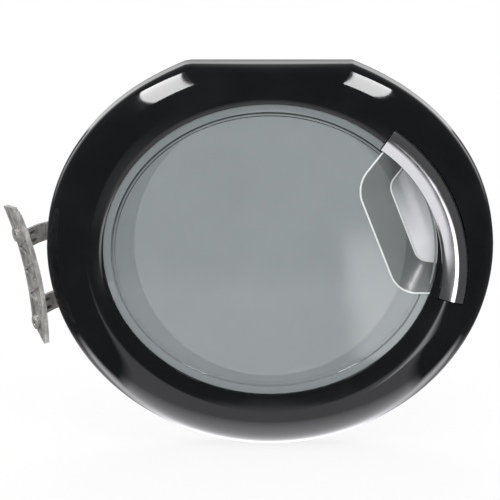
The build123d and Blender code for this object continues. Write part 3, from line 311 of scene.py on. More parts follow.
@dataclass(frozen=True)
class GlossPlastic:
    """Polished moulded plastic, with faint handling marks in the gloss."""

    name: str
    color: Color
    roughness: float = 0.05
    mark_scale: float = 14.0
    mark_span: Span = (0.45, 0.75)
    mark_roughness: float = 0.05
    ripple_scale: float = 160.0
    ripple_depth: float = 0.00001
    ripple_strength: float = 0.25

    def make(self) -> bpy.types.Material:
        """Builds the material."""
        surface = Surface(self.name, IOR=1.46, Specular_IOR_Level=0.5)
        marks = surface.ramp(surface.noise(self.mark_scale, detail=5.0), *self.mark_span)
        dull = self.roughness + self.mark_roughness
        rough = surface.ramp(marks, 0.0, 1.0, self.roughness, dull)
        surface.feed("Roughness", rough)
        lighter = tuple(c * 1.5 + 0.001 for c in self.color)
        surface.feed("Base Color", surface.blend(marks, self.color, lighter))
        ripple = surface.noise(self.ripple_scale, detail=2.0)
        surface.feed("Normal", surface.bump(ripple, self.ripple_depth, self.ripple_strength))
        return surface.material


@dataclass(frozen=True)
class SmokedClear:
    """Smoked clear moulding: a dark see-through sheet with a clean gloss."""

    name: str
    color: Color
    alpha: float
    roughness: float = 0.03
    haze_scale: float = 6.0
    haze_span: Span = (0.35, 0.75)
    haze_alpha: float = 0.02
    haze_roughness: float = 0.03

    def make(self) -> bpy.types.Material:
        """Builds the material."""
        surface = Surface(self.name, IOR=1.5)
        haze = surface.ramp(surface.noise(self.haze_scale, detail=4.0), *self.haze_span)
        dense = self.alpha + self.haze_alpha
        surface.feed("Alpha", surface.ramp(haze, 0.0, 1.0, self.alpha, dense))
        dull = self.roughness + self.haze_roughness
        rough = surface.ramp(haze, 0.0, 1.0, self.roughness, dull)
        surface.feed("Roughness", rough)
        lighter = tuple(c * 1.12 for c in self.color)
        surface.feed("Base Color", surface.blend(haze, self.color, lighter))
        return surface.material


@dataclass(frozen=True)
class PocketFloor:
    """Frosted floor of the pocket, paler towards its lower end; the paleness is partly the floor's
    own tone and partly painted light.
    """

    name: str
    upper: Color
    lower: Color
    fade: Span = (-0.085, -0.17)
    fade_lean: float = 0.5
    fade_waver: float = 0.006
    alpha: Span = (0.78, 0.84)

    def make(self) -> bpy.types.Material:
        """Builds the material."""
        surface = Surface(self.name, IOR=1.5, Roughness=0.12)
        across, _, up = surface.place("Object")
        shift = surface.noise(40.0, detail=2.0) * self.fade_waver
        # Paler towards the lower end: partly the floor's own tone, partly painted light.
        pale = surface.ramp(up - across * self.fade_lean + shift, *self.fade)
        surface.feed("Base Color", surface.blend(pale, self.upper, self.lower))
        surface.feed("Alpha", surface.ramp(surface.noise(9.0, detail=2.0), 0.3, 0.7, *self.alpha))
        return surface.material


@dataclass(frozen=True)
class StepShade:
    """Dark line of painted shade along the cover's moulded step, darkest in its upper part and
    faint lower down.
    """

    name: str
    dark: Color
    light: Color
    fade: Span = (0.0, 0.08)
    alpha: Span = (0.12, 0.95)
    waver: Span = (0.8, 1.0)

    def make(self) -> bpy.types.Material:
        """Builds the material."""
        surface = Surface(self.name, IOR=1.5, Roughness=0.2)
        _, _, up = surface.place("Object")
        # Darker in the upper part: painted shade that fades out lower down.
        upper = surface.ramp(up, *self.fade)
        uneven = surface.ramp(surface.noise(12.0, detail=2.0), 0.3, 0.7, *self.waver)
        surface.feed("Alpha", surface.ramp(upper, 0.0, 1.0, *self.alpha) * uneven)
        surface.feed("Base Color", surface.blend(upper, self.light, self.dark))
        return surface.material


@dataclass(frozen=True)
class ClearGlass:
    """Pressed clear glass, with the faint waviness of the mould."""

    name: str
    tint: Color
    wave_scale: float = 22.0
    wave_depth: float = 0.0002
    wave_strength: float = 0.3

    def make(self) -> bpy.types.Material:
        """Builds the material."""
        tint = (*self.tint, 1.0)
        surface = Surface(
            self.name, IOR=1.5, Roughness=0.0, Transmission_Weight=1.0, Base_Color=tint
        )
        wave = surface.noise(self.wave_scale, detail=1.0)
        surface.feed("Normal", surface.bump(wave, self.wave_depth, self.wave_strength))
        return surface.material


@dataclass(frozen=True)
class Chrome:
    """Bright chrome plating on a moulding."""

    name: str
    color: Color
    roughness: float
    wear_scale: float = 30.0
    wear_span: Span = (0.4, 0.8)
    wear_shade: float = 0.94
    wear_roughness: float = 0.05
    wave_scale: float = 24.0
    wave_depth: float = 0.0006
    wave_strength: float = 0.3

    def make(self) -> bpy.types.Material:
        """Builds the material."""
        surface = Surface(self.name, Metallic=1.0)
        wear = surface.ramp(surface.noise(self.wear_scale, detail=4.0), *self.wear_span)
        worn = tuple(c * self.wear_shade for c in self.color)
        surface.feed("Base Color", surface.blend(wear, self.color, worn))
        dull = self.roughness + self.wear_roughness
        rough = surface.ramp(wear, 0.0, 1.0, self.roughness, dull)
        surface.feed("Roughness", rough)
        wave = surface.noise(self.wave_scale, detail=1.0)
        surface.feed("Normal", surface.bump(wave, self.wave_depth, self.wave_strength))
        return surface.material


@dataclass(frozen=True)
class CastMetal:
    """Die-cast metal as it leaves the mould: grained, with flow marks and soft stains."""

    name: str
    color: Color
    dark: Color
    metallic: float = 0.35
    roughness: Span = (0.42, 0.6)
    grain_scale: float = 900.0
    flow_scale: float = 150.0
    flow_stretch: Stretch = (1.0, 1.0, 0.45)
    flow_span: Span = (0.38, 0.66)
    grain_shade: float = 0.25
    grain_relief: float = 0.4
    relief: float = 0.0005
    relief_strength: float = 0.8

    def make(self) -> bpy.types.Material:
        """Builds the material."""
        surface = Surface(self.name, Metallic=self.metallic)
        grain = surface.noise(self.grain_scale, detail=4.0)
        streaks = surface.noise(self.flow_scale, 4.0, self.flow_stretch)
        flow = surface.ramp(streaks, *self.flow_span)
        stain = flow * (1 - self.grain_shade) + grain * self.grain_shade
        surface.feed("Base Color", surface.blend(stain, self.color, self.dark))
        surface.feed("Roughness", surface.ramp(grain, 0.3, 0.7, *self.roughness))
        height = grain * self.grain_relief + flow * (1 - self.grain_relief)
        surface.feed("Normal", surface.bump(height, self.relief, self.relief_strength))
        return surface.material


@dataclass(frozen=True)
class PlatedSteel:
    """Zinc-plated steel, with fine turning marks."""

    name: str
    color: Color
    roughness: Span = (0.25, 0.42)
    mark_scale: float = 500.0
    mark_stretch: Stretch = (1.0, 0.1, 1.0)
    mark_shade: float = 0.8
    mark_depth: float = 0.00005
    mark_strength: float = 0.3

    def make(self) -> bpy.types.Material:
        """Builds the material."""
        surface = Surface(self.name, Metallic=1.0)
        marks = surface.noise(self.mark_scale, 3.0, self.mark_stretch)
        darker = tuple(c * self.mark_shade for c in self.color)
        surface.feed("Base Color", surface.blend(marks, self.color, darker))
        surface.feed("Roughness", surface.ramp(marks, 0.3, 0.7, *self.roughness))
        surface.feed("Normal", surface.bump(marks, self.mark_depth, self.mark_strength))
        return surface.material


@dataclass(frozen=True)
class SatinPlastic:
    """Moulded plastic with an etched, slightly uneven satin skin."""

    name: str
    color: Color
    roughness: float = 0.4
    etch_scale: float = 1400.0
    etch_roughness: float = 0.12
    etch_depth: float = 0.00004
    etch_strength: float = 0.5
    cloud_scale: float = 9.0
    cloud_span: Span = (0.3, 0.8)
    cloud_shade: float = 0.9

    def make(self) -> bpy.types.Material:
        """Builds the material."""
        surface = Surface(self.name, IOR=1.5)
        etch = surface.noise(self.etch_scale, detail=2.0)
        cloud = surface.ramp(surface.noise(self.cloud_scale, detail=4.0), *self.cloud_span)
        darker = tuple(c * self.cloud_shade for c in self.color)
        surface.feed("Base Color", surface.blend(cloud, self.color, darker))
        dull = self.roughness + self.etch_roughness
        rough = surface.ramp(etch, 0.3, 0.7, self.roughness, dull)
        surface.feed("Roughness", rough)
        surface.feed("Normal", surface.bump(etch, self.etch_depth, self.etch_strength))
        return surface.material


class Finishes:
    """Every finish of the door, made once."""

    def __init__(self) -> None:
        """Builds the materials."""
        self.ring = GlossPlastic("gloss_black_ring", (0.0045, 0.005, 0.006)).make()
        self.cover = SmokedClear("smoked_cover", (0.23, 0.256, 0.261), 0.735).make()
        self.pocket = SmokedClear("smoked_pocket", (0.165, 0.175, 0.18), 0.76, 0.22).make()
        # The pocket floor's pale lower colour is partly painted light.
        self.pocket_floor = PocketFloor(
            "smoked_pocket_floor", (0.28, 0.3, 0.315), (0.9, 0.91, 0.94)
        ).make()
        # Pale colour of painted highlight for the pocket's rolled edges.
        self.rim_highlight = SmokedClear("pocket_edge_painted_highlight", (0.74, 0.76, 0.765), 0.95, 0.15).make()
        # Dark line of painted shade along the cover's step.
        self.step_shade = StepShade(
            "cover_step_painted_shade", (0.02, 0.025, 0.028), (0.25, 0.27, 0.275)
        ).make()
        self.glass = ClearGlass("bowl_glass", (0.93, 0.97, 0.965)).make()
        self.chrome = Chrome("bright_chrome", (0.56, 0.565, 0.575), 0.07).make()
        self.casting = CastMetal(
            "hinge_casting", (0.5, 0.488, 0.468), (0.16, 0.155, 0.148)
        ).make()
        self.steel = PlatedSteel("plated_steel", (0.55, 0.55, 0.56)).make()
        self.screw = PlatedSteel("screw_steel", (0.48, 0.48, 0.49)).make()
        self.grey = SatinPlastic("light_grey_frame", (0.6, 0.61, 0.62)).make()
        self.black = SatinPlastic("satin_black", (0.02, 0.02, 0.022), 0.35).make()
        self.rubber = SatinPlastic("gasket_rubber", (0.03, 0.03, 0.03), 0.65).make()
        self.bush = SatinPlastic("bush_plastic", (0.7, 0.69, 0.64), 0.35).make()

    def dress(self, node: str, material: bpy.types.Material) -> None:
        """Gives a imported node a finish.

        Args:
            node: the node's name.
            material: its finish.
        """
        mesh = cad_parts[node].data
        mesh.materials.clear()
        mesh.materials.append(material)


class Skin:
    """Turns rows of points into a mesh object."""

    @staticmethod
    def link(
        name: str, points: Sequence[Sequence[float]], faces: Sequence[tuple[int, ...]]
    ) -> bpy.types.Object:
        """Makes a mesh object.

        Args:
            name: object's name.
            points: the mesh's points, in metres.
            faces: numbers of the points round each face.

        Returns:
            The object, linked to the scene.
        """
        mesh = bpy.data.meshes.new(name)
        mesh.from_pydata([tuple(p) for p in points], [], faces)
        made = bpy.data.objects.new(name, mesh)
        bpy.context.scene.collection.objects.link(made)
        return made

    @staticmethod
    def loft(
        name: str,
        rows: Sequence[Row],
        over: bool = False,
        first_cap: bool = False,
        last_cap: bool = False,
    ) -> bpy.types.Object:
        """Quads between rows of equal length, faced outward where they close a solid.

        Args:
            name: object's name.
            rows: rows of points in metres.
            over: whether the last row joins the first.
            first_cap: whether one face closes the first row.
            last_cap: whether one face closes the last row.

        Returns:
            The object, linked to the scene.
        """
        count = len(rows[0])
        faces: list[tuple[int, ...]] = []
        for r in range(len(rows) if over else len(rows) - 1):
            low, high = r * count, ((r + 1) % len(rows)) * count
            for c in range(count):
                n = (c + 1) % count
                faces.append((low + c, low + n, high + n, high + c))
        if first_cap:
            faces.append(tuple(range(count - 1, -1, -1)))
        if last_cap:
            faces.append(tuple(range((len(rows) - 1) * count, len(rows) * count)))
        made = Skin.link(name, [p for row in rows for p in row], faces)
        made.data.validate()
        if over or (first_cap and last_cap):
            Skin.face_out(made)
        return made

    @staticmethod
    def face_out(piece: bpy.types.Object) -> None:
        """Turns a closed piece's faces outward."""
        work = bmesh.new()
        work.from_mesh(piece.data)
        bmesh.ops.recalc_face_normals(work, faces=work.faces)
        work.to_mesh(piece.data)
        work.free()

    @staticmethod
    def cut(piece: bpy.types.Object, tools: Iterable[bpy.types.Object]) -> None:
        """Cuts solid tools out of a piece and removes the tools.

        Args:
            piece: the piece, changed in place.
            tools: closed solids.
        """
        for tool in tools:
            step = piece.modifiers.new("cut", "BOOLEAN")
            step.operation = "DIFFERENCE"
            step.solver = "EXACT"
            step.object = tool
            Skin.settle(piece)
            bpy.data.objects.remove(tool)

    @staticmethod
    def settle(piece: bpy.types.Object) -> None:
        """Applies a piece's modifiers to its mesh."""
        bpy.context.view_layer.update()
        graph = bpy.context.evaluated_depsgraph_get()
        mesh = bpy.data.meshes.new_from_object(piece.evaluated_get(graph))
        piece.modifiers.clear()
        piece.data = mesh

    @staticmethod
    def soften(piece: bpy.types.Object, angle: float) -> None:
        """Shades a piece smooth, with creases sharper than an angle kept."""
        piece.data.shade_smooth()
        piece.data.set_sharp_from_angle(angle=radians(angle))

    @staticmethod
    def hand_over(
        piece: bpy.types.Object, material: bpy.types.Material, body: Body, slot: str, *nodes: str
    ) -> None:
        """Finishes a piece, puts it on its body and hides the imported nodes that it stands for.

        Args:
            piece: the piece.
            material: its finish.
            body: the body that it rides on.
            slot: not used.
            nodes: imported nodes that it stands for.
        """
        piece.data.materials.clear()
        piece.data.materials.append(material)
        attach(piece, body.value)
        if nodes:
            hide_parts(*nodes)
        log.info("%s rides on %s with %d faces", piece.name, body.value, len(piece.data.polygons))


@dataclass
class Outline:
    """The ring's outline: an oval with round corners and a flat or slightly crowned top."""

    half_width: float
    half_height: float
    low_height: float
    flat_height: float
    flat_half: float
    crown: float = 0.0
    corner_start: float = 57.0
    around: int = 300
    corner: int = 16
    top: int = 40

    def points(self) -> list[Point]:
        """Points round the outline, the same number for any size.

        Returns:
            (x, z) from the left corner down and round to the top.
        """
        start, span = radians(180 - self.corner_start), radians(180 + 2 * self.corner_start)
        made = []
        for i in range(self.around):
            t = start + span * i / self.around
            height = self.half_height if sin(t) > 0 else self.low_height
            made.append((self.half_width * cos(t), height * sin(t)))
        right = self._corner()
        made += right
        for i in range(self.top):
            share = i / self.top
            x = self.flat_half * (1 - 2 * share)
            lift = self.crown * (1 - (1 - 2 * share) ** 2)
            made.append((x, self.flat_height + lift))
        made += [(-x, z) for x, z in reversed(right[1:])]
        return made[:-1] if made[-1] == made[0] else made

    def _corner(self) -> list[Point]:
        """Arc that leaves the ellipse on its tangent and ends at the flat."""
        t = radians(self.corner_start)
        p = Vector((self.half_width * cos(t), self.half_height * sin(t)))
        q = Vector((self.flat_half, self.flat_height))
        tangent = Vector((-self.half_width * sin(t), self.half_height * cos(t))).normalized()
        normal = Vector((-tangent.y, tangent.x))
        radius = (q - p).length_squared / (2 * normal.dot(q - p))
        centre = p + normal * radius
        start = atan2(p.y - centre.y, p.x - centre.x)
        end = atan2(q.y - centre.y, q.x - centre.x)
        made = []
        for i in range(self.corner):
            a = start + (end - start) * i / self.corner
            made.append((centre.x + abs(radius) * cos(a), centre.y + abs(radius) * sin(a)))
        return made


@dataclass
class HandleFrame:
    """The leaning frame of the handle: outward, along and depth."""

    lean: float = 21.4
    offset: float = -27.0
    bar_centre: float = 23.0

    def point(self, out: float, along: float, depth: float) -> Vector:
        """Point of the row frame from outward, along and depth."""
        a = radians(self.lean)
        t = along + self.offset
        return at(out * cos(a) - t * sin(a), depth, out * sin(a) + t * cos(a))

    def arc(self, radius: float, angle: float, depth: float) -> Vector:
        """Point on a circle about the bar's centre, with the angle in degrees."""
        a = radians(angle)
        return self.point(self.bar_centre + radius * cos(a), radius * sin(a), depth)


@dataclass
class Ring:
    """The gloss black domed ring."""

    half_width: float = 236.0
    half_height: float = 208.0
    low_height: float = 215.0
    flat_height: float = 195.0
    flat_half: float = 86.0
    depth: float = 48.0
    dome_depth: float = 30.0
    draft: float = 1.0
    skin: float = 2.6
    crest_width: float = 193.0
    crest_height: float = 181.0
    crest_flat: float = 68.0
    window_width: float = 175.0
    window_height: float = 155.0
    dome_rows: int = 24
    edge_round: Point = (0.12, 0.5)
    wall_steps: Point = (6.0, 12.0)
    land: float = 2.0
    land_depth: float = 0.02
    slope_depth: float = 2.5
    slope_shares: tuple[float, ...] = (0.25, 0.5, 0.75, 0.93)
    lip: tuple[Point, ...] = ((0.3, 2.6), (0.0, 3.1), (0.0, 13.0), (2.0, 13.0), (2.0, 5.4))
    back_shares: tuple[float, ...] = (0.6, 0.3, 0.1, 0.0)
    crease: float = 32.0

    def wall(self, inset: float, depth: float) -> Row:
        """Row of the side wall at an inset and a depth."""
        made = Outline(
            self.half_width - inset,
            self.half_height - inset,
            self.low_height - inset,
            self.flat_height - inset,
            self.flat_half - inset / 3,
        )
        return [at(x, depth, z) for x, z in made.points()]

    def dome(self, share: float, inset: float = 0.0) -> list[Point]:
        """Outline of the dome part of the way from the crease to the crest."""
        end = self.crest_height * sqrt(1 - (self.crest_flat / self.crest_width) ** 2)
        return Outline(
            between(self.half_width - self.draft, self.crest_width, share) - inset,
            between(self.half_height - self.draft, self.crest_height, share) - inset,
            between(self.low_height - self.draft, self.crest_height, share) - inset,
            between(self.flat_height - self.draft, end, share) - inset,
            between(self.flat_half - self.draft / 3, self.crest_flat, share) - inset / 3,
            (self.crest_height - end) * share,
        ).points()

    def dome_row(self, share: float, inset: float = 0.0, sink: float = 0.0) -> Row:
        """Row of the dome at its own depth."""
        depth = self.dome_depth * (1 - sqrt(1 - (1 - share) ** 2)) + sink
        return [at(x, depth, z) for x, z in self.dome(share, inset)]

    def oval(self, half_width: float, half_height: float, depth: float) -> Row:
        """Row of an ellipse, spaced like the crest."""
        made = []
        for x, z in self.dome(1.0):
            t = atan2(z / self.crest_height, x / self.crest_width)
            made.append(at(half_width * cos(t), depth, half_height * sin(t)))
        return made

    def build(
        self, finishes: Finishes, handle: HandleFrame, bar: "HandleBar", pocket: "Pocket"
    ) -> None:
        """Makes the ring, with its openings for the handle and its notches for the hinge.

        Args:
            finishes: the door's finishes.
            handle: the handle's frame.
            bar: the handle bar, which sizes its opening.
            pocket: the finger pocket, which sizes its opening.
        """
        inset, rise = self.edge_round
        rows = [self.wall(0.0, self.depth), self.wall(inset, self.depth - rise)]
        for step in self.wall_steps:
            inset = self.draft * step / (self.depth - self.dome_depth)
            rows.append(self.wall(inset, self.depth - step))
        for step in range(self.dome_rows + 1):
            rows.append(self.dome_row(1 - cos(radians(90 * step / self.dome_rows))))
        width, height = self.crest_width - self.land, self.crest_height - self.land
        rows.append(self.oval(width, height, self.land_depth))
        for share in self.slope_shares:
            wide = between(width, self.window_width, share)
            high = between(height, self.window_height, share)
            rows.append(self.oval(wide, high, self.slope_depth * share))
        for grow, depth in self.lip:
            rows.append(self.oval(self.window_width + grow, self.window_height + grow, depth))
        rows += [self.dome_row(share, self.skin, self.skin) for share in self.back_shares]
        rows.append(self.wall(self.skin, self.depth))
        ring = Skin.loft("black_ring", rows, over=True)
        Skin.cut(ring, [bar.opening(handle), pocket.opening(handle)] + HingeNotches().tools())
        Skin.soften(ring, self.crease)
        Skin.hand_over(ring, finishes.ring, Body.DOOR, "gloss_black", "front_frame")


@dataclass
class HingeNotches:
    """Clearance for the two hinge arms through the side of the ring."""

    pin: tuple[float, float, float] = (-211.16, 34.04, -23.19)
    tilt: float = 11.5
    spread: float = 37.0
    half_length: float = 10.05
    reach: float = 60.0
    inner: float = 40.0
    start: float = -8.5
    height: float = 60.0

    def tools(self) -> list[bpy.types.Object]:
        """Closed boxes to cut with."""
        a = radians(self.tilt)
        across, along = Vector((cos(a), 0, sin(a))), Vector((-sin(a), 0, cos(a)))
        made = []
        for side in (-1, 1):
            rows = []
            for depth in (self.start, self.start + self.height):
                row = []
                far, near = -self.reach, self.inner
                for u, s in ((far, -1), (near, -1), (near, 1), (far, 1)):
                    up = side * self.spread + s * self.half_length
                    place = Vector(self.pin) + across * u + along * up
                    row.append(at(place.x, self.pin[1] + depth, place.z))
                rows.append(row)
            made.append(Skin.loft("notch", rows, first_cap=True, last_cap=True))
        return made


@dataclass
class HandleBar:
    """The curved chrome bar: a crowned channel bent to an arc."""

    inner: float = 149.0
    outer: float = 175.5
    half_angle: float = 34.5
    edge: float = 2.4
    crown: float = 3.2
    peak: float = 0.66
    back: float = 9.5
    wall: float = 2.4
    end_wall: float = 0.9
    gap: float = 0.8
    end_gap: float = 0.35
    under: float = 1.7
    clear_front: float = -6.0
    edge_round: float = 0.9
    channel_round: float = 0.2
    round_height: float = 1.3
    overcut: float = 2.0
    crease: float = 35.0
    steps: int = 96
    round_steps: int = 4
    crown_steps: int = 24

    def sweep(
        self, name: str, section: Sequence[Point], half: float, handle: HandleFrame
    ) -> bpy.types.Object:
        """Sweeps a closed section along the bar's arc.

        Args:
            name: object's name.
            section: (radius, depth) points round the section.
            half: half of the arc, in degrees.
            handle: the handle's frame.

        Returns:
            The closed solid.
        """
        rows = []
        for i in range(self.steps + 1):
            angle = -half + 2 * half * i / self.steps
            rows.append([handle.arc(r, angle, y) for r, y in section])
        return Skin.loft(name, rows, first_cap=True, last_cap=True)

    def section(self, inset: float, back: float, round_edge: float) -> list[Point]:
        """Crowned section, moved in by a wall.

        Args:
            inset: wall that it is moved in by.
            back: depth of its back edge.
            round_edge: radius of its front edges.

        Returns:
            (radius, depth) points.
        """
        low, high, edge = self.inner + inset, self.outer - inset, self.edge + inset
        peak = low + (high - low) * self.peak
        rounds = []
        for i in range(self.round_steps + 1):
            a = radians(90 * i / self.round_steps)
            rise = edge + round_edge * self.round_height * (1 - sin(a))
            rounds.append((round_edge * (1 - cos(a)), rise))
        made = [(low, back)] + [(low + r, y) for r, y in rounds]
        for i in range(1, self.crown_steps):
            r = low + round_edge + (high - low - 2 * round_edge) * i / self.crown_steps
            run = (peak - low) if r < peak else (high - peak)
            made.append((r, edge - self.crown * (1 - ((r - peak) / run) ** 2)))
        made += [(high - r, y) for r, y in reversed(rounds)]
        made.append((high, back))
        return made

    def opening(self, handle: HandleFrame) -> bpy.types.Object:
        """Closed solid that clears the bar."""
        low, high = self.inner - self.gap, self.outer + self.gap
        floor = self.back + self.under
        front = self.clear_front
        section = ((low, front), (high, front), (high, floor), (low, floor))
        return self.sweep("bar_opening", section, self.half_angle + self.end_gap, handle)

    def build(self, finishes: Finishes, handle: HandleFrame) -> None:
        """Makes the bar."""
        outside = self.section(0.0, self.back, self.edge_round)
        inside = self.section(self.wall, self.back + self.overcut, self.channel_round)
        bar = self.sweep("chrome_bar", outside, self.half_angle, handle)
        channel = self.sweep("channel", inside, self.half_angle - self.end_wall, handle)
        Skin.cut(bar, [channel])
        Skin.soften(bar, self.crease)
        Skin.hand_over(bar, finishes.chrome, Body.HANDLE, "chrome", "handle_bar")


@dataclass
class Pocket:
    """The finger pocket: a tapered cup with a straight side and round corners."""

    mouth_depth: float = 6.0
    floor_depth: float = 28.0
    wall: float = 2.5
    side: Point = (109.0, 140.5)
    top: Point = (57.6, 42.0)
    bottom: Point = (64.0, 43.0)
    end_out: Point = (159.0, 166.0)
    end_top: Point = (87.0, 58.0)
    end_bottom: Point = (84.0, 58.0)
    outer: Point = (186.0, 184.0)
    top_corner: Point = (33.0, 15.0)
    low_corner: Point = (28.5, 15.0)
    shell_share: float = 0.6
    outward: float = -1.0
    clearance: float = 0.4
    mouth_grow: float = 1.6
    mouth_cut: Point = (-4.0, 6.0)
    rolled: tuple[tuple[float, float, float], ...] = (
        (0.0, 0.0, 1.55), (0.0, 0.25, 0.75), (0.01, 0.8, 0.2),
    )
    side_shares: tuple[float, ...] = (0.07, 0.2, 0.4, 0.6, 0.78, 0.88)
    turned: tuple[tuple[float, float, float], ...] = (
        (0.93, 0.945, -0.2), (0.96, 0.985, -0.7), (1.0, 1.0, -1.4),
    )
    corner_steps: int = 20
    outer_steps: int = 40
    bead_steps: int = 10

    def outline(self, share: float, grow: float = 0.0) -> list[Point]:
        """Points round the pocket between its mouth, at share 0, and its floor, at share 1.

        Args:
            share: part of the way down.
            grow: how far the outline is moved outward.

        Returns:
            (outward, along) points.
        """
        side, out = between(*self.side, share), between(*self.end_out, share)
        corners = [
            (Vector((out, between(*self.end_top, share))), 0.0),
            (Vector((side, between(*self.top, share))), between(*self.top_corner, share)),
            (Vector((side, -between(*self.bottom, share))), between(*self.low_corner, share)),
            (Vector((out, -between(*self.end_bottom, share))), 0.0),
        ]
        made: list[Vector] = []
        for i, (corner, radius) in enumerate(corners):
            if radius == 0.0:
                made.append(corner.copy())
                continue
            back = (corners[i - 1][0] - corner).normalized()
            on = (corners[i + 1][0] - corner).normalized()
            half = back.angle(on) / 2
            run = radius / tan(half)
            centre = corner + (back + on).normalized() * (radius / sin(half))
            first, last = corner + back * run - centre, corner + on * run - centre
            start, end = atan2(first.y, first.x), atan2(last.y, last.x)
            while end < start:
                end += 2 * pi
            for k in range(self.corner_steps + 1):
                a = start + (end - start) * k / self.corner_steps
                made.append(centre + Vector((cos(a), sin(a))) * radius)
        apex = Vector((between(*self.outer, share), 0.0))
        low, high, parts = corners[3][0], corners[0][0], self.outer_steps
        made += [self._through(low, apex, high, k / parts) for k in range(1, parts)]
        if grow:
            made = self._grown(made, grow)
        return [(p.x, p.y) for p in made]

    @staticmethod
    def _through(first: Vector, middle: Vector, last: Vector, share: float) -> Vector:
        """Point on the circle through three points."""
        ax, ay, bx, by, cx, cy = *first, *middle, *last
        a2, b2, c2 = ax * ax + ay * ay, bx * bx + by * by, cx * cx + cy * cy
        d = 2 * (ax * (by - cy) + bx * (cy - ay) + cx * (ay - by))
        ux = (a2 * (by - cy) + b2 * (cy - ay) + c2 * (ay - by)) / d
        uy = (a2 * (cx - bx) + b2 * (ax - cx) + c2 * (bx - ax)) / d
        centre = Vector((ux, uy))
        start, end = atan2(ay - uy, ax - ux), atan2(cy - uy, cx - ux)
        a = start + (end - start) * share
        return centre + Vector((cos(a), sin(a))) * (first - centre).length

    @staticmethod
    def _grown(points: list[Vector], grow: float) -> list[Vector]:
        """Outline moved outward along its own normals."""
        made = []
        for i, p in enumerate(points):
            run = points[(i + 1) % len(points)] - points[i - 1]
            made.append(p + Vector((run.y, -run.x)).normalized() * grow)
        return made

    def row(self, handle: HandleFrame, share: float, depth: float, grow: float = 0.0) -> Row:
        """Row of the pocket in the row frame."""
        return [handle.point(n, t, depth) for n, t in self.outline(share, grow)]

    def opening(self, handle: HandleFrame) -> bpy.types.Object:
        """Closed solid that clears the pocket through the ring."""
        grow = self.wall + self.clearance
        rows = [
            self.row(handle, 0.0, self.mouth_depth - 2.0, grow),
            self.row(handle, 0.0, self.mouth_depth, grow),
            self.row(handle, 1.0, self.floor_depth + self.wall, grow),
        ]
        return Skin.loft("pocket_opening", rows, first_cap=True, last_cap=True)

    def mouth(self, handle: HandleFrame) -> bpy.types.Object:
        """Closed solid that cuts the pocket's mouth out of the cover's panel."""
        rows = [
            self.row(handle, 0.0, self.mouth_depth + sink, self.mouth_grow)
            for sink in self.mouth_cut
        ]
        return Skin.loft("pocket_mouth", rows, first_cap=True, last_cap=True)

    def shell(self, handle: HandleFrame) -> bpy.types.Object:
        """The pocket's wall and floor, with a rolled mouth edge and a rounded floor edge."""
        span = self.floor_depth - self.mouth_depth
        top = self.mouth_depth
        rows = [self.row(handle, share, top + sink, grow) for share, sink, grow in self.rolled]
        rows += [self.row(handle, share, top + span * share) for share in self.side_shares]
        for share, deep, grow in self.turned:
            rows.append(self.row(handle, share, top + span * deep, grow))
        return Skin.loft("pocket_shell", rows, last_cap=True)

    def bead(
        self, name: str, handle: HandleFrame, share: float, depth: float, radius: float, grow: float
    ) -> bpy.types.Object:
        """Round bead along the pocket's outline, where the moulded edge is rolled over.

        Args:
            name: object's name.
            handle: the handle's frame.
            share: part of the way down, for the outline.
            depth: depth of the bead's middle.
            radius: the bead's radius.
            grow: how far outside the outline its middle lies.

        Returns:
            The closed bead.
        """
        rows = []
        for k in range(self.bead_steps):
            a = 2 * pi * k / self.bead_steps
            rows.append(self.row(handle, share, depth + radius * sin(a), grow + radius * cos(a)))
        return Skin.loft(name, rows, over=True)


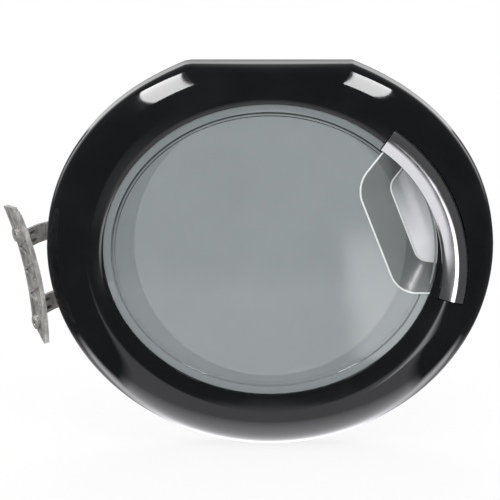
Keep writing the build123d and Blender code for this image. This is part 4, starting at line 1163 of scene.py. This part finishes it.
@dataclass
class Cover:
    """The smoked cover: a panel with a raised border, and the pocket."""

    half_width: float = 174.6
    half_height: float = 154.6
    drop: float = 4.0
    step: float = 2.0
    border: float = 8.4
    thickness: float = 3.0
    skirt_depth: float = 15.0
    skirt: float = 2.2
    lines: tuple[tuple[float, float, float], ...] = ((9.0, 5.85, 1.15), (12.4, 6.1, 0.5))
    line_sides: int = 8
    edge_radius: float = 1.0
    panel_crease: float = 12.0
    shell_crease: float = 40.0
    bead_crease: float = 60.0
    floor_band: float = 0.6
    floor_facing: float = 0.8

    def build(
        self, finishes: Finishes, ring: Ring, handle: HandleFrame, bar: HandleBar, pocket: Pocket
    ) -> None:
        """Makes the cover's panel, its pocket, the step lines of painted shade and the rolled
        edges, made bright with painted highlight.

        Args:
            finishes: the door's finishes.
            ring: the ring, whose spacing the panel's rows share.
            handle: the handle's frame.
            bar: the handle bar.
            pocket: the pocket.
        """
        low, inner, back_depth = self.drop + self.step, self.border, self.drop + self.thickness
        front = [
            self._oval(ring, inset, depth)
            for inset, depth in (
                (0.0, self.skirt_depth),
                (0.0, self.drop + 0.5),
                (0.15, self.drop + 0.15),
                (0.5, self.drop),
                (inner - 0.7, self.drop),
                (inner - 0.2, self.drop + 0.2),
                (inner + 0.1, low - 0.3),
                (inner + 0.7, low),
                (inner + 1.6, low),
                (inner + 2.4, low),
            )
        ]
        back = [
            self._oval(ring, inset, depth)
            for inset, depth in (
                (inner - 3.0, low + self.thickness),
                (inner - 3.0, back_depth),
                (self.skirt, back_depth),
                (self.skirt, self.skirt_depth),
            )
        ]
        panel = self._panel(front, back)
        Skin.cut(panel, [pocket.mouth(handle), bar.opening(handle)])
        Skin.soften(panel, self.panel_crease)
        Skin.hand_over(panel, finishes.cover, Body.DOOR, "smoked_cover", "window_cover")
        shell = pocket.shell(handle)
        step = shell.modifiers.new("wall", "SOLIDIFY")
        step.thickness = pocket.wall / MM * pocket.shell_share
        step.offset = pocket.outward
        Skin.settle(shell)
        Skin.cut(shell, [bar.opening(handle)])
        Skin.soften(shell, self.shell_crease)
        Skin.hand_over(shell, finishes.pocket, Body.DOOR, "smoked_cover", "window_cover")
        for face in shell.data.polygons:
            face.material_index = 0
        shell.data.materials.append(finishes.pocket_floor)
        level = at(0, pocket.floor_depth - self.floor_band, 0).y
        for face in shell.data.polygons:
            if face.center.y > level and abs(face.normal.y) > self.floor_facing:
                face.material_index = 1
        # Dark lines of painted shade along the cover's moulded step.
        for number, (inset, depth, radius) in enumerate(self.lines):
            rows = []
            for k in range(self.line_sides):
                a = radians(360 / self.line_sides * k)
                rows.append(self._oval(ring, inset - radius * cos(a), depth + radius * sin(a)))
            line = Skin.loft(f"cover_step_{number}", rows, over=True)
            Skin.cut(line, [bar.opening(handle), pocket.mouth(handle)])
            Skin.soften(line, self.bead_crease)
            Skin.hand_over(line, finishes.step_shade, Body.DOOR, "smoked_cover", "window_cover")
        # The rolled edges are pale with painted highlight.
        radius = self.edge_radius
        top, base = pocket.mouth_depth - 0.1, pocket.floor_depth - 0.9
        mouth = pocket.bead("pocket_mouth_edge", handle, 0.0, top, radius, 0.8)
        floor = pocket.bead("pocket_floor_edge", handle, 0.96, base, radius, -0.6)
        for edge in (mouth, floor):
            Skin.cut(edge, [bar.opening(handle)])
            Skin.soften(edge, self.bead_crease)
            Skin.hand_over(edge, finishes.rim_highlight, Body.DOOR, "smoked_cover", "window_cover")

    def _oval(self, ring: Ring, inset: float, depth: float) -> Row:
        """Row of the cover, moved in from its edge."""
        return ring.oval(self.half_width - inset, self.half_height - inset, depth)

    @staticmethod
    def _panel(front: list[Row], back: list[Row]) -> bpy.types.Object:
        """Closed panel whose front and back middles are single faces.

        Args:
            front: rows from the skirt's end to the front's flat middle.
            back: rows from the back's flat middle to the skirt's end.

        Returns:
            The panel.
        """
        count = len(front[0])
        rows = front + back
        faces: list[tuple[int, ...]] = []
        gap = len(front) - 1
        for r in range(len(rows)):
            if r == gap:
                continue
            low, high = r * count, ((r + 1) % len(rows)) * count
            for c in range(count):
                n = (c + 1) % count
                faces.append((low + c, low + n, high + n, high + c))
        faces.append(tuple(range(gap * count, (gap + 1) * count)))
        faces.append(tuple(range((gap + 2) * count - 1, (gap + 1) * count - 1, -1)))
        made = Skin.link("cover_panel", [p for row in rows for p in row], faces)
        Skin.face_out(made)
        return made


@dataclass
class Bowl:
    """The pressed glass bowl, with its flange, inclined facet and nose."""

    flange: float = 157.0
    flange_front: float = 38.5
    glass: float = 5.0
    mouth: float = 149.0
    shoulder: float = 46.0
    base: float = 107.0
    base_depth: float = 117.0
    corner: float = 20.0
    crease: float = 20.0
    slope: float = 12.5
    facet_round: float = 1.6
    nose_half: Point = (80.0, 44.0)
    nose_drop: float = 44.0
    nose_edge: float = 1.06
    nose_flank: float = 0.14
    nose_rise: float = 7.0
    base_band: float = 0.6
    no_facet: float = 900.0
    crease_angle: float = 50.0
    around: int = 160
    corner_steps: int = 12
    base_shares: tuple[float, ...] = (0.85, 0.7, 0.55, 0.4, 0.28, 0.16, 0.06)
    fine_from: float = 8.0
    fine_parts: int = 3

    def profile(self, inset: float) -> list[Point]:
        """(radius, depth) from the mouth to the middle of the base.

        Args:
            inset: how far the profile is moved in.

        Returns:
            Points of the profile.
        """
        lean = (self.mouth - self.base) / (self.base_depth - self.shoulder)
        across = inset * sqrt(1 + lean**2)
        depth = self.base_depth - inset
        radius = self.base + inset * lean - across
        top = Vector((self.mouth - across, self.shoulder))
        corner = Vector((radius, depth))
        back, on = (top - corner).normalized(), Vector((-1, 0))
        half = back.angle(on) / 2
        bend = self.corner - inset
        run = bend / tan(half)
        centre = corner + (back + on).normalized() * (bend / sin(half))
        first, last = corner + back * run, corner + on * run
        start = atan2(first.y - centre.y, first.x - centre.x)
        end = atan2(last.y - centre.y, last.x - centre.x)
        made = [(top.x, top.y)]
        for share in (0.33, 0.66):
            p = top.lerp(first, share)
            made.append((p.x, p.y))
        for k in range(self.corner_steps + 1):
            a = start + (end - start) * k / self.corner_steps
            made.append((centre.x + bend * cos(a), centre.y + bend * sin(a)))
        for share in self.base_shares:
            made.append((last.x * share, depth))
        return made

    def depth_at(self, x: float, z: float, depth: float, base: float) -> float:
        """Depth of the bowl's surface, with the facet and the nose pressed in.

        Args:
            x: across.
            z: up.
            depth: depth of the plain profile there.
            base: depth of the flat base.

        Returns:
            The depth.
        """
        facet = base - max(0.0, z - self.crease) * tan(radians(self.slope))
        low = min(depth, facet)
        soft = max(0.0, self.facet_round - abs(depth - facet)) / self.facet_round
        low -= soft * soft * self.facet_round * 0.25
        half_x, half_z = self.nose_half
        reach = sqrt((x / half_x) ** 2 + ((z + self.nose_drop) / half_z) ** 2)
        lift = min(1.0, max(0.0, (self.nose_edge - reach) / self.nose_flank))
        rise = lift * lift * (3 - 2 * lift)
        if depth > base - self.base_band:
            low += self.nose_rise * rise
        return low

    def build(self, finishes: Finishes) -> None:
        """Makes the bowl."""
        inner = self._fine(self.profile(self.glass))
        outer = self._fine(self.profile(0.0))
        inner_base = self.base_depth - self.glass
        front, back, lip = self.flange_front, self.flange_front + self.glass, inner[0][0]
        flange = (
            (lip + 0.3, front + 0.6),
            (lip + 1.0, front),
            (self.flange - 0.8, front),
            (self.flange, front + 0.8),
            (self.flange, back - 0.8),
            (self.flange - 0.8, back),
            (self.mouth + 0.8, back),
            (self.mouth, back + 0.8),
        )
        rows = [self._row(radius, depth, inner_base) for radius, depth in reversed(inner)]
        rows += [self._row(radius, depth, self.no_facet) for radius, depth in flange]
        rows += [self._row(radius, depth, self.base_depth) for radius, depth in outer]
        bowl = Skin.loft("bowl_skin", rows, first_cap=True, last_cap=True)
        Skin.soften(bowl, self.crease_angle)
        Skin.hand_over(bowl, finishes.glass, Body.DOOR, "bowl_glass", "glass_bowl")

    def _row(self, radius: float, depth: float, base: float) -> Row:
        """Row round the bowl, with the facet and the nose where they reach it."""
        made = []
        for i in range(self.around):
            a = 2 * pi * i / self.around
            x, z = radius * cos(a), radius * sin(a)
            made.append(at(x, self.depth_at(x, z, depth, base), z))
        return made

    def _fine(self, profile: list[Point]) -> list[Point]:
        """Profile with more points across its base."""
        made = [profile[0]]
        for first, last in zip(profile, profile[1:]):
            parts = self.fine_parts if abs(first[0] - last[0]) > self.fine_from else 1
            for k in range(1, parts + 1):
                radius = first[0] + (last[0] - first[0]) * k / parts
                made.append((radius, first[1] + (last[1] - first[1]) * k / parts))
        return made


@dataclass
class Fittings:
    """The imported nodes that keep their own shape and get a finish."""

    bevel: float = 0.35
    bevel_angle: float = 35.0
    rounded: tuple[str, ...] = ("hinge_bracket", "latch_hook", "latch_housing", "hinge_carrier")
    screws: tuple[str, ...] = (
        "clamp_ring_screws",
        "frame_screws",
        "hinge_carrier_screws",
        "handle_lever_screws",
        "latch_housing_screws",
    )
    steels: tuple[str, ...] = (
        "hinge_carrier",
        "hinge_pin_upper",
        "hinge_pin_lower",
        "handle_pin",
        "hook_pin",
        "handle_spring",
        "hook_spring",
    )

    def build(self, finishes: Finishes) -> None:
        """Dresses each node."""
        plan = (
            (finishes.ring, ("front_frame",)),
            (finishes.cover, ("window_cover",)),
            (finishes.glass, ("glass_bowl",)),
            (finishes.chrome, ("handle_bar",)),
            (finishes.casting, ("hinge_bracket",)),
            (finishes.grey, ("rear_frame",)),
            (finishes.rubber, ("bowl_gasket",)),
            (finishes.bush, ("hinge_bush_upper", "hinge_bush_lower")),
            (finishes.black, ("bowl_clamp_ring", "handle_lever", "latch_housing", "latch_hook")),
            (finishes.screw, self.screws),
            (finishes.steel, self.steels),
        )
        for material, nodes in plan:
            for node in nodes:
                finishes.dress(node, material)
        for node in self.rounded:
            self._round(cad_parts[node])
        log.info("dressed %d packed nodes", sum(len(nodes) for _, nodes in plan))

    def _round(self, piece: bpy.types.Object) -> None:
        """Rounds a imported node's sharp edges."""
        step = piece.modifiers.new("edge", "BEVEL")
        step.width = self.bevel / MM
        step.segments = 2
        step.limit_method = "ANGLE"
        step.angle_limit = radians(self.bevel_angle)


@dataclass
class Studio:
    """Camera, floor, light and the panels that the gloss reflects, in metres."""

    pitch: float = 12.0
    distance: float = 3.0
    lens: float = 207.1
    shift: Point = (-0.04, 0.003)
    room: float = 0.115
    fill: float = 0.82
    lift: float = 0.84
    sheet: float = 1.2
    under: float = 3.8
    patch: float = 4.0
    panels: tuple[tuple[str, tuple[Point, ...]], ...] = (
        ("left_panel", ((-1.12, -2.0), (-0.69, -2.0), (-0.635, 0.27), (-1.0, 0.59))),
        ("right_panel", ((0.63, -2.0), (0.97, -2.0), (0.91, 0.31), (0.6, 0.15))),
    )
    panel_height: float = 1.2
    panel_level: float = 18.0
    horizon_back: Span = (0.6, 0.9)
    horizon_up: Span = (0.2, 0.42)
    horizon_rest: float = 0.12
    shadow_reach: Span = (0.2, 0.4)
    near_side: Span = (0.19, 0.22)
    behind_back: Span = (-0.03, 0.0)
    behind_side: Span = (0.28, 0.36)
    sheet_start: Span = (-0.95, -0.75)
    sheet_end: Span = (0.02, 0.08)
    sheet_rest: float = 0.55
    under_start: Span = (-0.08, 0.01)
    under_end: Span = (0.015, 0.06)
    patch_left: Span = (0.09, 0.12)
    patch_right: Span = (0.2, 0.26)
    patch_near: Span = (-1.25, -1.0)
    patch_far: Span = (-0.42, -0.38)
    floor_half: float = 12.0
    floor_gap: float = 0.0005
    floor_color: tuple[float, float, float, float] = (0.86, 0.86, 0.86, 1.0)
    sheet_color: Color = (0.98, 0.97, 1.0)
    lamps: tuple[tuple[str, tuple[float, float, float], float, float], ...] = (
        ("key", (0.9, -2.2, 2.2), 28.0, 1.6),
        ("fill", (-1.6, -2.0, 1.2), 14.0, 1.6),
        ("back", (0.2, 2.2, 1.8), 26.0, 1.8),
        ("low", (-2.4, -1.4, -0.1), 9.0, 1.0),
    )

    def build(self) -> None:
        """Makes everything that isn't part of the door."""
        self._camera()
        self._world()
        self._floor()
        self._panels()
        self._lamps()

    def _camera(self) -> None:
        """Camera at the photograph's viewing angle."""
        data = bpy.data.cameras.new("camera")
        data.lens = self.lens
        data.sensor_width = 36.0
        data.shift_x, data.shift_y = self.shift
        data.clip_end = 50.0
        camera = bpy.data.objects.new("camera", data)
        a = radians(self.pitch)
        camera.location = at(0, 0, 0) - Vector((0, cos(a), -sin(a))) * self.distance
        camera.rotation_euler = (pi / 2 - a, 0, 0)
        bpy.context.scene.collection.objects.link(camera)
        bpy.context.scene.camera = camera

    def _world(self) -> None:
        """White backdrop behind the door, and a dark room in front that only the gloss shows."""
        world = bpy.data.worlds.new("studio")
        bpy.context.scene.world = world
        world.use_nodes = True
        tree = Shader(world.node_tree)
        seen, mirrored = tree.seen(), tree.mirrored()
        _, back, up = tree.place("Generated")
        behind = tree.ramp(up, *self.horizon_up, 1.0, self.horizon_rest)
        behind = tree.ramp(back, *self.horizon_back) * behind
        level = mirrored * (behind + self.room) + (1.0 - mirrored) * self.fill
        strength = seen + (1.0 - seen) * level
        shade = tree.tinted(WHITE[:3], strength)
        ground = tree.node("ShaderNodeBackground", {}, {"Color": shade, "Strength": 1.0})
        tree.node("ShaderNodeOutputWorld", {}, {"Surface": ground.outputs[0]})

    def _floor(self) -> None:
        """Pale floor with the door's shadow, and a bright sheet there that only the gloss shows."""
        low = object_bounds()[0][2] - self.floor_gap
        size = self.floor_half
        corners = [(-size, -size, 0), (size, -size, 0), (size, size, 0), (-size, size, 0)]
        floor = Skin.link("floor", corners, [(0, 1, 2, 3)])
        floor.location = (DOOR_CENTRE.x / MM, 0, low)
        material = bpy.data.materials.new("pale_floor")
        material.use_nodes = True
        tree = Shader(material.node_tree)
        seen, mirrored = tree.seen(), tree.mirrored()
        across, back, _ = tree.place("Object")
        side = across.largest(0.0 - across)
        matte = tree.node("ShaderNodeBsdfDiffuse", {}, {"Color": self.floor_color})
        away = side.largest(back.largest(0.0 - back))
        lift = seen * tree.ramp(away, *self.shadow_reach, self.lift, 1.0)
        glow = tree.node("ShaderNodeEmission", {}, {"Color": WHITE, "Strength": 1.0})
        parts = {0: lift, 1: matte.outputs[0], 2: glow.outputs[0]}
        both = tree.node("ShaderNodeMixShader", {}, parts)
        behind = tree.ramp(back, *self.behind_back) * tree.ramp(side, *self.behind_side, 1.0, 0.0)
        near = tree.ramp(side, *self.near_side, 1.0, 0.0).largest(behind)
        front = tree.ramp(back, *self.sheet_start, 0.0, self.sheet)
        front = front * tree.ramp(back, *self.sheet_end, 1.0, self.sheet_rest)
        under = tree.ramp(back, *self.under_start, 0.0, self.under)
        under = under * tree.ramp(back, *self.under_end, 1.0, 0.0)
        wide = tree.ramp(across, *self.patch_left) * tree.ramp(across, *self.patch_right, 1.0, 0.0)
        patch = wide * tree.ramp(back, *self.patch_near)
        patch = patch * tree.ramp(back, *self.patch_far, 1.0, 0.0) * self.patch
        level = near * (front + under) + patch + self.room
        shade = tree.tinted(self.sheet_color, level)
        dim = tree.node("ShaderNodeEmission", {}, {"Color": shade, "Strength": 1.0})
        parts = {0: mirrored, 1: both.outputs[0], 2: dim.outputs[0]}
        pick = tree.node("ShaderNodeMixShader", {}, parts)
        tree.node("ShaderNodeOutputMaterial", {}, {"Surface": pick.outputs[0]})
        floor.data.materials.append(material)
        floor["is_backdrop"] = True

    def _panels(self) -> None:
        """Two long light panels overhead, left and right, which only the gloss shows."""
        material = bpy.data.materials.new("panel_light")
        material.use_nodes = True
        tree = Shader(material.node_tree)
        glow = tree.node("ShaderNodeEmission", {}, {"Color": WHITE, "Strength": self.panel_level})
        tree.node("ShaderNodeOutputMaterial", {}, {"Surface": glow.outputs[0]})
        for name, corners in self.panels:
            points = [at(0, 0, 0) + Vector((x, y, self.panel_height)) for x, y in corners]
            panel = Skin.link(name, points, [(0, 1, 2, 3)])
            panel.data.materials.append(material)
            panel.visible_camera = panel.visible_diffuse = False
            panel.visible_transmission = panel.visible_shadow = False
            panel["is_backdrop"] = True

    def _lamps(self) -> None:
        """Soft lamps that light the door evenly."""
        for name, place, power, size in self.lamps:
            data = bpy.data.lights.new(name, "AREA")
            data.energy = power
            data.size = size
            lamp = bpy.data.objects.new(name, data)
            lamp.location = place
            lamp.visible_glossy = False
            aim = at(0, 0, 0) - Vector(place)
            lamp.rotation_euler = aim.to_track_quat("-Z", "Y").to_euler()
            bpy.context.scene.collection.objects.link(lamp)


def main() -> None:
    """Builds the dressed door in order."""
    logging.basicConfig(level=logging.INFO, format="%(name)s: %(message)s")
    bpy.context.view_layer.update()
    finishes = Finishes()
    handle, bar, pocket, ring = HandleFrame(), HandleBar(), Pocket(), Ring()
    Fittings().build(finishes)
    ring.build(finishes, handle, bar, pocket)
    Cover().build(finishes, ring, handle, bar, pocket)
    bar.build(finishes, handle)
    Bowl().build(finishes)
    Studio().build()
    bpy.context.scene.view_settings.view_transform = "Standard"


if __name__ == "__main__":
    main()
